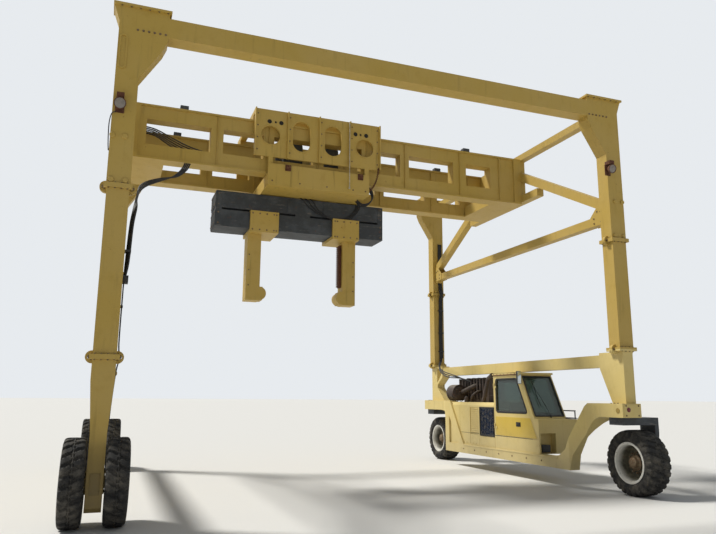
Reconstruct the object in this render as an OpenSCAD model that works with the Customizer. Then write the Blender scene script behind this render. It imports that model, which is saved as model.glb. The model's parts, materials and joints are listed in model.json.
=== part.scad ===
// Straddle carrier: a gantry on four legs that carries a clamping spreader over its load.
// The front faces -Y, +X is the right-hand side seen from the front, and the floor is Z = 0.

/* [Main frame] */
// Distance between the leg centres across the machine
track = 8350; // [7900:10:8800]
// Distance between the front and rear leg centres
wheelbase = 6930; // [6600:10:7300]
// Width of a lower leg, across the machine
leg_w = 290; // [260:5:310]
// Depth of a leg, along the machine
leg_d = 260; // [240:5:300]
// Width of an upper leg, across the machine
upper_leg_w = 310; // [290:5:340]
// Height of the joint at the foot of a left leg
left_joint_z = 2080; // [2000:10:2200]
// Height of the joint at the foot of a right leg
right_joint_z = 2430; // [2400:10:2500]
// Height of the joint between lower and upper leg
upper_joint_z = 4350; // [4250:10:4450]
// Top of the front and rear cross beams
beam_top_z = 6920; // [6880:10:6960]
// Height of a cross beam
beam_h = 300; // [260:10:340]
// Distance from a cross beam's top down to the seam between head and upper leg
head_drop = 990; // [920:10:1060]
// How far a head reaches in from the leg centre to its cross beam
head_reach = 515; // [460:5:560]
// Thickness of a joint flange
flange_t = 32; // [24:2:40]
// How far a joint flange stands out from the leg
flange_lip = 38; // [30:2:46]
// Radius of the round lugs at a joint
lug_r = 82; // [70:2:90]
// Radius of the pin hole in a lug
lug_hole_r = 24; // [18:2:30]
// Thickness of the cap plate on a head
cap_t = 36; // [24:2:44]

/* [Girders and trusses] */
// Top of the two trolley girders
girder_top_z = 6790; // [6750:10:6820]
// Height of a trolley girder
girder_h = 1030; // [1000:10:1040]
// Distance of a girder's centre from the middle of the machine
girder_y = 680; // [670:5:690]
// Width of a girder's chords
girder_w = 240; // [220:5:260]
// Width of a girder's flanges
girder_flange_w = 300; // [280:5:310]
// Thickness of a girder's flanges
girder_flange_t = 36; // [24:2:40]
// Height of a girder's chords
chord_h = 240; // [200:10:260]
// Thickness of the frame that closes the girders' ends
end_frame_t = 175; // [150:5:190]
// Width of the truss members, across the machine
truss_w = 160; // [140:5:180]
// Height of the truss members
truss_h = 160; // [140:5:180]
// Middle height of the long tie between the legs
tie_z = 4800; // [4760:5:4840]
// Half the length of the truss chord that carries the girders
chord_half = 1400; // [1300:10:1500]
// Height of the buffer stops
stop_h = 110; // [90:5:115]
// Middle of the left buffer stops
stop_left_x = -3150; // [-3300:10:-3000]
// Middle of the right buffer stops
stop_right_x = 2800; // [2700:10:3000]

/* [Left side] */
// Outside diameter of the tyres
tyre_od = 1080; // [1060:5:1100]
// Width of a left tyre
dual_tyre_w = 280; // [260:5:290]
// Radius of the rims of the left wheels
dual_rim_r = 285; // [270:5:300]
// Space between the two left tyres
dual_gap = 236; // [230:2:250]
// Width of a drive leg between the tyres
drive_leg_w = 200; // [180:5:210]
// Lowest point of a drive leg
drive_leg_bottom_z = 190; // [170:5:230]
// Radius of a drive axle
axle_r = 70; // [60:2:80]
// Height of the left side beam's underside
side_beam_z = 1640; // [1600:10:1700]
// Height of the left side beam
side_beam_h = 300; // [260:10:340]

/* [Right side] */
// Width of a steered tyre
steer_tyre_w = 450; // [430:5:460]
// Radius of the rims of the steered wheels
steer_rim_r = 320; // [300:5:330]
// Distance of the steered wheels' middle outwards from the leg centre
steer_out = 185; // [180:5:195]
// Distance of the steering pins inwards from the leg centre
pin_in = 55; // [40:5:80]
// Radius of a steering pin
pin_r = 60; // [50:2:70]
// Top of the arms over the steered wheels
arm_top_z = 1515; // [1490:5:1540]
// Height of those arms
arm_h = 230; // [220:5:250]
// Thickness of the knuckle's top slab
slab_t = 125; // [110:5:130]
// Thickness of the knuckle's outer arm
fork_t = 85; // [70:5:95]
// Depth of a knuckle, along the machine
knuckle_d = 340; // [320:5:350]
// Radius of the boss round a spindle
boss_r = 110; // [100:5:120]
// Radius of the spindle of a steered wheel
spindle_r = 60; // [50:2:70]
// Underside of the low frame between the wheels
sill_bottom_z = 330; // [300:5:360]
// Height of the low frame between the wheels
sill_h = 200; // [180:5:220]
// Inner face of the sill, measured inwards from the leg centre
sill_in = 415; // [405:5:425]
// Width of the sill
sill_w = 210; // [200:5:230]
// Outer face of the wheel arms, measured outwards from the leg centre
arm_out = 115; // [100:5:130]
// Inner face of the wheel arms, measured inwards from the leg centre
arm_in = 275; // [260:5:290]
// From a front leg's centre back to the front end of the sill's underside
neck_back = 1025; // [1005:5:1045]
// From a rear leg's centre forwards to the rear end of the low frame's deep part
rear_end_in = 1185; // [1165:5:1205]
// Length of the post at the rear end, along the machine
end_post_l = 190; // [180:5:200]
// From that rear end forwards to the foot of the brace
brace_l = 880; // [850:10:910]

/* [Cab] */
// Rear wall of the cab along the machine
cab_rear_y = 90; // [75:5:100]
// Head of the windscreen along the machine
screen_head_y = -930; // [-950:5:-910]
// Foot of the windscreen along the machine
screen_foot_y = -1370; // [-1390:5:-1350]
// Front panel along the machine
front_y = -1500; // [-1520:5:-1490]
// Width of the cab over the window sills
cab_w = 760; // [740:5:780]
// Width of the body under the window sills
body_w = 960; // [930:10:980]
// Top of the cab's roof
roof_z = 2110; // [2090:2:2118]
// Height of the windscreen's foot
screen_foot_z = 1200; // [1190:5:1215]
// Thickness of the cab's walls
wall = 40; // [36:2:44]
// Height of the window sills
sill_z = 1300; // [1280:5:1320]
// Foot of the door
door_z = 800; // [785:5:820]
// Gap around the door
door_gap = 6; // [6:1:8]
// Radius of the door's hinge barrels
barrel_r = 15; // [13:1:17]
// Width of the step pocket in the front panel
pocket_w = 350; // [320:10:370]
// Top of the step pocket
pocket_top_z = 920; // [900:5:940]
// Top of the engine cover
cover_top_z = 1490; // [1470:5:1500]
// Top of the engine
engine_top_z = 2050; // [2030:5:2060]

/* [Trolley and spreader] */
// Left end of the trolley's side plates
trolley_x0 = -1860; // [-1900:10:-1800]
// Length of the trolley's side plates
trolley_l = 2560; // [2500:10:2600]
// Inner face of a side plate from the middle of the machine
plate_y = 880; // [870:2:900]
// Thickness of a side plate
plate_t = 40; // [30:2:50]
// Height of a side plate
plate_h = 940; // [920:5:950]
// How far the side plates stand over the girders
plate_rise = 210; // [200:5:230]
// Radius of the trolley's rollers
roller_r = 62; // [56:2:66]
// Height of the box beam under the trolley
deck_h = 240; // [220:5:250]
// Radius of a hoist drum
drum_r = 160; // [140:5:180]
// Length of a hoist drum
drum_l = 640; // [600:10:660]
// Radius of a hoist rope
rope_r = 11; // [9:1:13]
// Left end of the spreader's beams
spreader_x0 = -2430; // [-2460:10:-2400]
// Length of the spreader's beams
spreader_l = 3440; // [3400:10:3480]
// Half the width of the spreader's beams
spreader_half_y = 300; // [280:5:320]
// Height of each spreader beam
spreader_beam_h = 330; // [310:5:340]
// Gap between the two spreader beams
spreader_gap = 40; // [36:2:46]
// Middle of the left clamp arm's post
arm_left_x = -1635; // [-1700:5:-1600]
// Middle of the right clamp arm's post
arm_right_x = 330; // [300:5:360]
// Width of a clamp arm's post
post_w = 270; // [250:5:290]
// Depth of a clamp arm's post
post_d = 300; // [280:5:320]
// Length of a clamp arm's post below the lower beam
post_l = 1370; // [1300:10:1420]
// Width of the sleeve that carries a clamp arm
sleeve_w = 560; // [540:5:580]

/* [Hidden] */
$fn = 64;
// Running clearance in a bore, seating gap, and free gap of a sliding sleeve
RUN = 0.08;
SEAT = 0.3;
FREE = 8;
FL = [-1, -1];
FR = [1, -1];
RR = [1, 1];
RL = [-1, 1];
CORNERS = [FL, FR, RR, RL];
leg_x = track / 2;
leg_y = wheelbase / 2;
leg_back = leg_y - leg_d / 2;
flange_w = leg_w + 2 * flange_lip;
head_top_z = beam_top_z + 62;
seam_z = beam_top_z - head_drop;
tyre_r = tyre_od / 2;

girder_bottom_z = girder_top_z - girder_h;
win_z0 = girder_bottom_z + girder_flange_t + chord_h;
win_z1 = girder_top_z - girder_flange_t - chord_h;
truss_in = leg_x - truss_w / 2;
girder_half = truss_in - end_frame_t;
chord_z = girder_bottom_z + 40;

dual_x = (dual_gap + dual_tyre_w) / 2;
arm_bottom_z = arm_top_z - arm_h;
slab_z = arm_bottom_z - SEAT - slab_t;
fork_x = steer_out + steer_tyre_w / 2 + 32;
arm_end_y = leg_y + leg_d / 2 + 105;
sill_top_z = sill_bottom_z + sill_h;
neck_y = leg_y - neck_back;
rear_end_y = leg_y - rear_end_in;
rear_foot_y = rear_end_y - brace_l;
cover_rear_y = rear_end_y - end_post_l - 2;

cab_in = leg_x - sill_in + 40;
cab_out = cab_in + cab_w;
ceiling_z = roof_z - wall;
hinge_x = cab_in - barrel_r - 1;
hinge_y = cab_rear_y - 45 + door_gap / 2;
cover_y = cab_rear_y + 10;

plate_top_z = girder_top_z + plate_rise;
plate_z = plate_top_z - plate_h;
deck_top_z = girder_bottom_z - 20;
deck_x = trolley_x0 + 280;
deck_l = trolley_l - 520;
axis_z = plate_z + 470;
spreader_top_z = deck_top_z - deck_h - 20;
lower_beam_z = spreader_top_z - 2 * spreader_beam_h - spreader_gap;
sleeve_t = spreader_gap - FREE - 10;

CREAM = "#d9c46a";
SLATE = "#2e3436";
BLACK = "#1d1d1d";
WHITE = "#e4e2da";
GLASS = "#7d8f8a";
BLUE = "#2c3f58";

// A corner's own frame: +X outwards, -Y towards the nearer end of the machine
module corner(c) {
  translate([c[0] * leg_x, c[1] * leg_y, 0])
    mirror([c[0] < 0 ? 1 : 0, 0, 0])
      mirror([0, c[1] > 0 ? 1 : 0, 0])
        children();
}

// A block with its middle at x, y and its underside at z
module block(x, y, z, w, d, h) {
  translate([x - w / 2, y - d / 2, z]) cube([w, d, h]);
}

// An outline drawn in Y and Z, extruded along X from x by w
module along_x(x, w) {
  translate([x, 0, 0]) rotate([90, 0, 90]) linear_extrude(w) children();
}

// An outline drawn in X and Z, extruded along Y from y by d
module along_y(y, d) {
  translate([0, y + d, 0]) rotate([90, 0, 0]) linear_extrude(d) children();
}

// The points of an outline with their mirror images across the middle of the machine
function both_ends(half) = concat(half, [for (i = [len(half) - 1:-1:0]) [-half[i][0], half[i][1]]]);

function joint_z(c) = c[0] < 0 ? left_joint_z : right_joint_z;

// Half of a joint: a flange and the matching half of the two round lugs
module joint_half(z, up) {
  lug_x = flange_w / 2 - lug_r * 0.35;
  block(0, 0, up ? z : z - flange_t, flange_w, leg_d + 2 * flange_lip, flange_t);
  difference() {
    intersection() {
      for (s = [-1, 1])
        translate([s * lug_x, 30, z]) rotate([90, 0, 0]) cylinder(r = lug_r, h = 60);
      block(0, 0, up ? z : z - lug_r, 2 * flange_w, leg_d, lug_r);
    }
    for (s = [-1, 1])
      translate([s * (lug_x + lug_r * 0.4), 40, z]) rotate([90, 0, 0]) cylinder(r = lug_hole_r, h = 80);
  }
}

module lower_leg(c) {
  corner(c) {
    block(0, 0, joint_z(c), leg_w, leg_d, upper_joint_z - joint_z(c));
    joint_half(joint_z(c), true);
    joint_half(upper_joint_z, false);
  }
}

module upper_leg(c) {
  corner(c) {
    block(0, 0, upper_joint_z, upper_leg_w, leg_d, seam_z - upper_joint_z);
    joint_half(upper_joint_z, true);
  }
}

// The head of a leg flares in to its cross beam, and a little out under the cap plate
module head(c) {
  half = upper_leg_w / 2;
  corner(c) {
    along_y(-leg_d / 2, leg_d) polygon([
      [-half, seam_z], [half, seam_z], [half, head_top_z - 230], [half + 80, head_top_z],
      [-head_reach, head_top_z], [-head_reach, beam_top_z - beam_h - 60], [-head_reach + 60, seam_z + 480]
    ]);
    block(-(head_reach - half - 60) / 2, 0, head_top_z, head_reach + half + 120, leg_d + 90, cap_t);
  }
}

module heads() {
  color(CREAM) for (c = CORNERS) head(c);
}

module upper_legs() {
  color(CREAM) for (c = CORNERS) upper_leg(c);
}

module lower_legs() {
  color(CREAM) for (c = CORNERS) lower_leg(c);
}

module cross_beams() {
  color(CREAM) for (s = [-1, 1])
    block(0, s * leg_y, beam_top_z - beam_h, 2 * (leg_x - head_reach), leg_d, beam_h);
}

// A straight member from a to b of a side view, h thick
module member(a, b, h) {
  translate(a) rotate(atan2(b[1] - a[1], b[0] - a[0])) translate([0, -h / 2]) square([norm(b - a), h]);
}

module truss_outline() {
  translate([-leg_back, tie_z - truss_h / 2]) square([2 * leg_back, truss_h]);
  translate([-leg_back, beam_top_z - truss_h]) square([2 * leg_back, truss_h - 24]);
  translate([-chord_half, chord_z]) square([2 * chord_half, truss_h]);
  for (s = [-1, 1]) {
    intersection() {
      member([s * (leg_back + 200), tie_z + 130], [s * (girder_y - 60), girder_top_z - 300], truss_h * 1.1);
      translate([-leg_back, 0]) square([2 * leg_back, beam_top_z]);
    }
    translate([s * girder_y - 80, chord_z]) square([160, beam_top_z - 24 - chord_z]);
    translate([s * (leg_back - 50) - 50, tie_z - truss_h / 2 - 60]) square([100, truss_h + 300]);
  }
}

module truss(side) {
  color(CREAM) along_x(side > 0 ? truss_in : -truss_in - truss_w, truss_w) truss_outline();
}

// Columns: left edge and right edge of each window in a trolley girder, over half its length
GIRDER_WINDOWS = [
  [-0.969, -0.676], [-0.617, -0.421], [-0.370, -0.166], [-0.115, 0.089], [0.140, 0.306],
  [0.357, 0.620], [0.699, 0.852]
];

module girder(side) {
  y = side * girder_y;
  color(CREAM) difference() {
    union() {
      block(0, y, girder_bottom_z, 2 * girder_half, girder_w, girder_h);
      for (z = [girder_bottom_z, girder_top_z - girder_flange_t])
        block(0, y, z, 2 * girder_half, girder_flange_w, girder_flange_t);
    }
    for (w = GIRDER_WINDOWS)
      translate([w[0] * girder_half, y - girder_w, win_z0])
        cube([(w[1] - w[0]) * girder_half, 2 * girder_w, win_z1 - win_z0]);
  }
}

// The frame that closes the girders' ends and stands against the truss
module girder_end(side) {
  gap = 2 * girder_y - girder_flange_w;
  mirror([side < 0 ? 1 : 0, 0, 0]) {
    translate([girder_half - 470, -gap / 2, girder_bottom_z]) cube([470, gap, chord_h]);
    difference() {
      translate([girder_half, -girder_y - girder_flange_w / 2, girder_bottom_z])
        cube([truss_in - girder_half, 2 * girder_y + girder_flange_w, girder_h]);
      translate([girder_half - 10, -girder_y + girder_w / 2, win_z0])
        cube([truss_in - girder_half + 20, 2 * girder_y - girder_w, win_z1 - win_z0]);
    }
  }
}

module girder_ends() {
  color(CREAM) for (s = [-1, 1]) girder_end(s);
}

module buffer_stops() {
  color(SLATE) for (s = [-1, 1]) for (x = [stop_left_x, stop_right_x])
    block(x, s * girder_y, girder_top_z, 150, 120, stop_h);
}

// A drive leg narrows to pass between its two tyres and holds their axle
module drive_leg(side) {
  neck_z = tyre_od + 60;
  foot_d = 340;
  corner([-1, side]) difference() {
    union() {
      intersection() {
        along_y(-foot_d, 2 * foot_d) polygon([
          [-drive_leg_w / 2, drive_leg_bottom_z], [drive_leg_w / 2, drive_leg_bottom_z],
          [drive_leg_w / 2, neck_z], [leg_w / 2, left_joint_z - 300], [leg_w / 2, left_joint_z],
          [-leg_w / 2, left_joint_z], [-leg_w / 2, left_joint_z - 300], [-drive_leg_w / 2, neck_z]
        ]);
        along_x(-leg_w, 2 * leg_w) polygon([
          [-leg_d / 2, left_joint_z], [-leg_d / 2, neck_z], [-foot_d / 2, tyre_r + 120],
          [-foot_d / 2, drive_leg_bottom_z + 60], [-foot_d / 2 + 60, drive_leg_bottom_z],
          [foot_d / 2 - 60, drive_leg_bottom_z], [foot_d / 2, drive_leg_bottom_z + 60],
          [foot_d / 2, tyre_r + 120], [leg_d / 2, neck_z], [leg_d / 2, left_joint_z]
        ]);
      }
      joint_half(left_joint_z, false);
    }
    translate([-leg_w, 0, tyre_r]) rotate([0, 90, 0]) cylinder(r = axle_r + RUN, h = 2 * leg_w);
  }
}

module drive_legs() {
  color(CREAM) for (s = [-1, 1]) drive_leg(s);
}

// A tyre around the X axis: its beads stand on the rim and its walls bulge beside the rim's lips
module tyre_ring(w, rim_r) {
  half = [
    [rim_r, 0.40 * w], [rim_r + 30, 0.40 * w], [rim_r + 45, 0.45 * w], [tyre_r * 0.76, 0.5 * w],
    [tyre_r - 75, 0.485 * w], [tyre_r - 30, 0.45 * w], [tyre_r - 8, 0.36 * w], [tyre_r, 0.2 * w]
  ];
  rotate([0, 90, 0]) rotate_extrude($fn = 72)
    polygon(concat(half, [for (i = [len(half) - 1:-1:0]) [half[i][0], -half[i][1]]]));
}

module dual_tyres(side) {
  color(BLACK) corner([-1, side])
    for (s = [-1, 1]) translate([s * dual_x, 0, tyre_r]) tyre_ring(dual_tyre_w, dual_rim_r);
}

// A dished rim around the X axis, as wide as the beads of a tyre w wide, dished towards +X
module rim_ring(w, rim_r, bore_r, hub_r) {
  e = 0.40 * w;
  rotate([0, 90, 0]) rotate_extrude($fn = 72) polygon([
    [bore_r, -40], [hub_r, -40], [hub_r, -10], [rim_r - 60, 20], [rim_r - 32, -e + 40], [rim_r - 14, -e - 14],
    [rim_r + 20, -e - 14], [rim_r + 20, -e], [rim_r, -e], [rim_r, e], [rim_r + 20, e],
    [rim_r + 20, e + 14], [rim_r - 14, e + 14], [rim_r - 26, e - 20], [rim_r - 26, 70],
    [rim_r - 60, 46], [hub_r, 16], [hub_r, 60], [bore_r, 60]
  ]);
}

module dual_rims(side) {
  color(WHITE) corner([-1, side]) translate([0, 0, tyre_r]) {
    translate([-dual_x - 60, 0, 0]) rotate([0, 90, 0]) cylinder(r = axle_r, h = 2 * dual_x + 120);
    for (s = [-1, 1]) translate([s * dual_x, 0, 0]) mirror([s > 0 ? 1 : 0, 0, 0])
      rim_ring(dual_tyre_w, dual_rim_r, axle_r - 2, axle_r + 60);
  }
}

// The half fork that turns under the arm and carries a steered wheel from its outer side
module knuckle(side) {
  half = knuckle_d / 2;
  slab_in = pin_in + pin_r + 100;
  color(SLATE) corner([1, side]) {
    translate([-slab_in, -half, slab_z]) cube([slab_in + fork_x + fork_t, knuckle_d, slab_t]);
    translate([-pin_in, 0, slab_z + 10]) cylinder(r = pin_r, h = slab_t + arm_h - 40);
    along_x(fork_x, fork_t) polygon([
      [-half, slab_z], [-half, slab_z + slab_t], [half, slab_z + slab_t], [half, slab_z - 130],
      [boss_r, tyre_r], [-boss_r, tyre_r], [-half, slab_z - 130]
    ]);
    translate([fork_x, 0, tyre_r]) rotate([0, 90, 0]) cylinder(r = boss_r, h = fork_t);
    translate([steer_out - spindle_r, 0, tyre_r]) rotate([0, 90, 0])
      cylinder(r = spindle_r, h = fork_x - steer_out + spindle_r + 20);
  }
}

module steer_tyre(side) {
  color(BLACK) corner([1, side]) translate([steer_out, 0, tyre_r]) tyre_ring(steer_tyre_w, steer_rim_r);
}

module steer_rim(side) {
  color(WHITE) corner([1, side]) translate([steer_out, 0, tyre_r])
    rim_ring(steer_tyre_w, steer_rim_r, spindle_r + RUN, spindle_r + 70);
}

tie_beam_z = roof_z + 30;
tie_beam_h = 215;
foot_back = leg_d / 2 + 330;

// Foot between a right leg and the arm over its wheel. The rear one has a waist and an open gusset.
module foot(side) {
  w = arm_out + leg_w / 2 - 50;
  top = right_joint_z - flange_t - 6;
  h = leg_d / 2;
  corner([1, side]) {
    along_x(arm_out - w, w) difference() {
      polygon(side < 0
        ? [[-h, arm_top_z], [h + 60, arm_top_z], [foot_back, tie_beam_z - 30], [foot_back, top], [h, top],
           [h, right_joint_z - 1], [-h, right_joint_z - 1]]
        : [[-h, arm_top_z], [h + 420, arm_top_z], [h + 50, arm_top_z + 330], [h + 40, arm_top_z + 400],
           [foot_back, tie_beam_z - 30], [foot_back, top], [h, top], [h, right_joint_z - 1],
           [-h, right_joint_z - 1]]);
      if (side > 0)
        polygon([
          [h + 30, top - 50], [foot_back - 60, top - 50], [foot_back - 60, tie_beam_z + 60],
          [h + 60, arm_top_z + 480], [h + 30, arm_top_z + 480]
        ]);
    }
    joint_half(right_joint_z, false);
  }
}

module feet_right() {
  color(CREAM) for (s = [-1, 1]) foot(s);
}

// Side view of the low frame, from the front arm over the sill to the rear arm and back along the
// underside: a swan neck in front and a deep end behind
LOW_FRAME_SIDE = [
  [-arm_end_y, arm_bottom_z], [-arm_end_y, arm_top_z], [-neck_y - 390, arm_top_z],
  [-neck_y - 300, arm_top_z - 60], [-neck_y + 110, sill_top_z + 160],
  [-neck_y + 290, sill_top_z + 40], [-neck_y + 540, sill_top_z],
  [rear_end_y - end_post_l, sill_top_z], [rear_end_y - end_post_l, arm_top_z], [arm_end_y, arm_top_z],
  [arm_end_y, arm_bottom_z], [rear_end_y + 470, arm_bottom_z], [rear_end_y + 170, arm_bottom_z - 35],
  [rear_end_y, arm_bottom_z - 150], [rear_end_y, sill_bottom_z],
  [-neck_y, sill_bottom_z], [-neck_y - 60, arm_bottom_z - 685], [-neck_y - 240, arm_bottom_z - 414],
  [-neck_y - 366, arm_bottom_z - 236], [-neck_y - 470, arm_bottom_z - 120],
  [-neck_y - 570, arm_bottom_z - 42], [-neck_y - 670, arm_bottom_z]
];

// The brace across the rear end, on the inner side of the engine cover
BRACE = [
  [rear_foot_y, sill_top_z - 20], [rear_foot_y + 230, sill_top_z - 20],
  [rear_end_y - end_post_l + 20, arm_bottom_z - 90], [rear_end_y - end_post_l + 20, arm_top_z],
  [rear_end_y - end_post_l - 60, arm_top_z]
];

// Plan of the low frame: the sill is narrower than the arms and lies further in
LOW_FRAME_PLAN = [
  [leg_x + arm_out, -arm_end_y], [leg_x - arm_in, -arm_end_y], [leg_x - arm_in, -neck_y - 300],
  [leg_x - sill_in, -neck_y], [leg_x - sill_in, rear_end_y], [leg_x - arm_in, rear_end_y + 300],
  [leg_x - arm_in, arm_end_y], [leg_x + arm_out, arm_end_y], [leg_x + arm_out, rear_end_y + 550],
  [leg_x - sill_in + sill_w, rear_end_y + 150], [leg_x - sill_in + sill_w, -neck_y - 280],
  [leg_x + arm_out, -neck_y - 600]
];

module low_frame() {
  color(CREAM) difference() {
    union() {
      intersection() {
        along_x(leg_x - 600, 1000) polygon(LOW_FRAME_SIDE);
        linear_extrude(arm_top_z + 10) polygon(LOW_FRAME_PLAN);
      }
      along_x(leg_x - sill_in, cab_in - leg_x + sill_in) polygon(BRACE);
    }
    for (s = [-1, 1])
      translate([leg_x - pin_in, s * leg_y, arm_bottom_z - 10]) cylinder(r = pin_r + RUN, h = arm_h - 10);
  }
}

// The beams that tie the front to the rear legs low down on either side
module side_beams() {
  color(CREAM) {
    block(-leg_x, 0, side_beam_z, leg_w * 0.8, 2 * leg_back, side_beam_h);
    block(leg_x + 20, 0, tie_beam_z, leg_w - 100, 2 * (leg_y - foot_back), tie_beam_h);
  }
}

// Place along the machine of the windscreen's outer face at height z
function screen_at(z) =
  screen_foot_y + (screen_head_y - screen_foot_y) * (z - screen_foot_z) / (ceiling_z - screen_foot_z);

// Side view of the cab with its front and rear walls moved in by t
function cab_side(t, z0, z1) = [
  [cab_rear_y - t, z0], [cab_rear_y - t, z1], [screen_at(z1) + 1.15 * t, z1],
  [screen_at(screen_foot_z - t) + 1.15 * t, screen_foot_z - t], [front_y + t, screen_foot_z - 15 - t],
  [front_y + t, z0]
];

// Side view of the door, grown by g
function door_side(g) = [
  [cab_rear_y - 45 + g, door_z - g], [cab_rear_y - 45 + g, ceiling_z - 50 + g],
  [screen_at(ceiling_z - 50 + g) + 110 - 1.15 * g, ceiling_z - 50 + g],
  [screen_at(door_z - g) + 110 - 1.15 * g, door_z - g]
];

// Side view of the door's window, with its lower front corner cut off
function door_window() = [
  [cab_rear_y - 110, sill_z], [cab_rear_y - 100, sill_z + 20], [cab_rear_y - 100, ceiling_z - 85],
  [screen_at(ceiling_z - 85) + 205, ceiling_z - 85], [screen_at(ceiling_z - 140) + 180, ceiling_z - 140],
  [screen_at(sill_z + 40) + 180, sill_z + 40], [screen_at(sill_z) + 215, sill_z]
];

module windscreen_outline() {
  polygon([
    [screen_at(screen_foot_z + 45) - 100, screen_foot_z + 45],
    [screen_at(screen_foot_z + 45) + 100, screen_foot_z + 45],
    [screen_at(ceiling_z - 45) + 100, ceiling_z - 45], [screen_at(ceiling_z - 45) - 100, ceiling_z - 45]
  ]);
}

HINGE_Z = [950, 1800];

module cab_shell() {
  color(CREAM) {
    difference() {
      union() {
        difference() {
          along_x(cab_in, cab_w) polygon(cab_side(0, sill_top_z, ceiling_z));
          along_x(cab_in + wall, cab_w - 2 * wall) polygon(cab_side(wall, sill_top_z + wall, ceiling_z + 10));
        }
        translate([cab_in + wall, front_y + wall, sill_top_z])
          cube([pocket_w + wall, 160, pocket_top_z + wall - sill_top_z]);
      }
      translate([cab_in + wall, front_y - 1, sill_top_z + 10])
        cube([pocket_w, 160 + 1, pocket_top_z - sill_top_z - 10]);
      along_x(cab_in - 1, wall + 2) polygon(door_side(door_gap));
      along_x(cab_out - wall - 1, wall + 2) polygon(door_window());
      translate([cab_in + 90, cab_rear_y - wall - 1, sill_z + 60]) cube([cab_w - 180, wall + 2, 560]);
      along_x(cab_in + 45, cab_w - 90) windscreen_outline();
    }
    for (z = HINGE_Z) {
      translate([hinge_x, hinge_y, z + 52]) cylinder(r = barrel_r, h = 50);
      translate([hinge_x, hinge_y, z]) cylinder(r = barrel_r / 2, h = 60);
      translate([hinge_x, hinge_y, z + 52]) cube([barrel_r + 1, 35, 50]);
    }
  }
}

module cab_roof() {
  color(CREAM) translate([cab_in - 15, screen_head_y - 45, ceiling_z])
    cube([cab_w + 30, cab_rear_y - screen_head_y + 60, wall]);
}

// The low part of the body beside the cab, as deep as the cab's front panel
module cab_front() {
  color(CREAM) translate([cab_out, front_y, sill_top_z])
    cube([body_w - cab_w, cab_rear_y - front_y, screen_foot_z - 15 - sill_top_z]);
}

// Handrail: its front post, length, height and radius
rail_y = front_y + 60;
rail_l = 500;
rail_h = 150;
rail_r = 12;

// Mirror on the corner post and handrail on the low part of the body
module cab_trim() {
  color(SLATE) {
    translate([cab_in - 105, screen_head_y - 60, roof_z - 235]) cube([90, 35, 260]);
    translate([cab_in - 60, screen_head_y - 30, roof_z - 30]) cube([45 - SEAT, 20, 20]);
    for (y = [rail_y, rail_y + rail_l])
      translate([cab_in + body_w - 40, y, screen_foot_z - 15]) cylinder(r = rail_r, h = rail_h);
    translate([cab_in + body_w - 40, rail_y + rail_l + rail_r, screen_foot_z + rail_h - 3])
      rotate([90, 0, 0]) cylinder(r = rail_r, h = rail_l + 2 * rail_r);
  }
}

module cab_glass() {
  a = [screen_foot_y, screen_foot_z];
  b = [screen_head_y, ceiling_z];
  color(GLASS) {
    along_x(cab_in + 45, cab_w - 90) intersection() {
      windscreen_outline();
      translate(a) rotate(atan2(b[1] - a[1], b[0] - a[0])) translate([0, -18]) square([norm(b - a), 8]);
    }
    along_x(cab_out - wall / 2, 8) polygon(door_window());
    translate([cab_in + 90, cab_rear_y - wall / 2, sill_z + 60]) cube([cab_w - 180, 8, 560]);
  }
}

module cab_door() {
  color(CREAM) {
    difference() {
      along_x(cab_in, wall) polygon(door_side(0));
      along_x(cab_in - 1, wall + 2) polygon(door_window());
    }
    for (z = HINGE_Z) difference() {
      union() {
        translate([hinge_x, hinge_y, z]) cylinder(r = barrel_r, h = 50);
        translate([hinge_x, hinge_y - 70, z]) cube([barrel_r + 1, 70, 50]);
      }
      translate([hinge_x, hinge_y, z - 1]) cylinder(r = barrel_r / 2 + RUN, h = 52);
    }
  }
}

module door_glass() {
  color(GLASS) along_x(cab_in + wall / 2, 6) polygon(door_window());
}

// Seat: width, height of its top over the floor, thickness of its cushions, height of its backrest
seat_w = 460;
seat_h = 490;
cushion_t = 90;
back_h = 480;

module seat() {
  x = (cab_in + cab_out) / 2;
  y = cab_rear_y - 30 - seat_w;
  z = sill_top_z + wall;
  color(BLACK) {
    block(x, y, z, seat_w - 160, seat_w - 160, seat_h - cushion_t);
    block(x, y, z + seat_h - cushion_t, seat_w, seat_w, cushion_t);
    block(x, y + seat_w / 2 - cushion_t / 2, z + seat_h, seat_w - 20, cushion_t, back_h);
  }
}

module steering_column() {
  x = (cab_in + cab_out) / 2;
  color(BLACK) {
    block(x, front_y + 330, sill_top_z + wall, 120, 120, 440);
    translate([x, front_y + 330, sill_top_z + wall + 440]) cylinder(r = 150, h = 30);
  }
}

grille_y = cover_y + 10;
grille_l = 580;
grille_z = 775;
grille_h = 600;
bay_y = grille_y + grille_l + 40;
bay_x = cab_in + 420;
bay_w = body_w - wall - 420;

// The cover's upper inner edge is bevelled; the grille sits in its side, and its top is open
// over the outer half of the bay
module engine_cover() {
  bevel = 70;
  color(CREAM) difference() {
    along_y(cover_y, cover_rear_y - cover_y) polygon([
      [cab_in, sill_top_z], [cab_in, cover_top_z - bevel], [cab_in + bevel * 0.6, cover_top_z],
      [cab_in + body_w, cover_top_z], [cab_in + body_w, sill_top_z]
    ]);
    translate([cab_in + wall, bay_y, sill_top_z + wall])
      cube([body_w - 2 * wall, cover_rear_y - wall - bay_y, cover_top_z - sill_top_z - 2 * wall]);
    translate([bay_x, bay_y, cover_top_z - wall - 1])
      cube([bay_w, cover_rear_y - wall - bay_y, wall + 2]);
    translate([cab_in - 10, grille_y, grille_z]) cube([60, grille_l, grille_h]);
    translate([cab_in - 1, bay_y + 40, grille_z]) cube([13, 360, grille_h]);
  }
}

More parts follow.
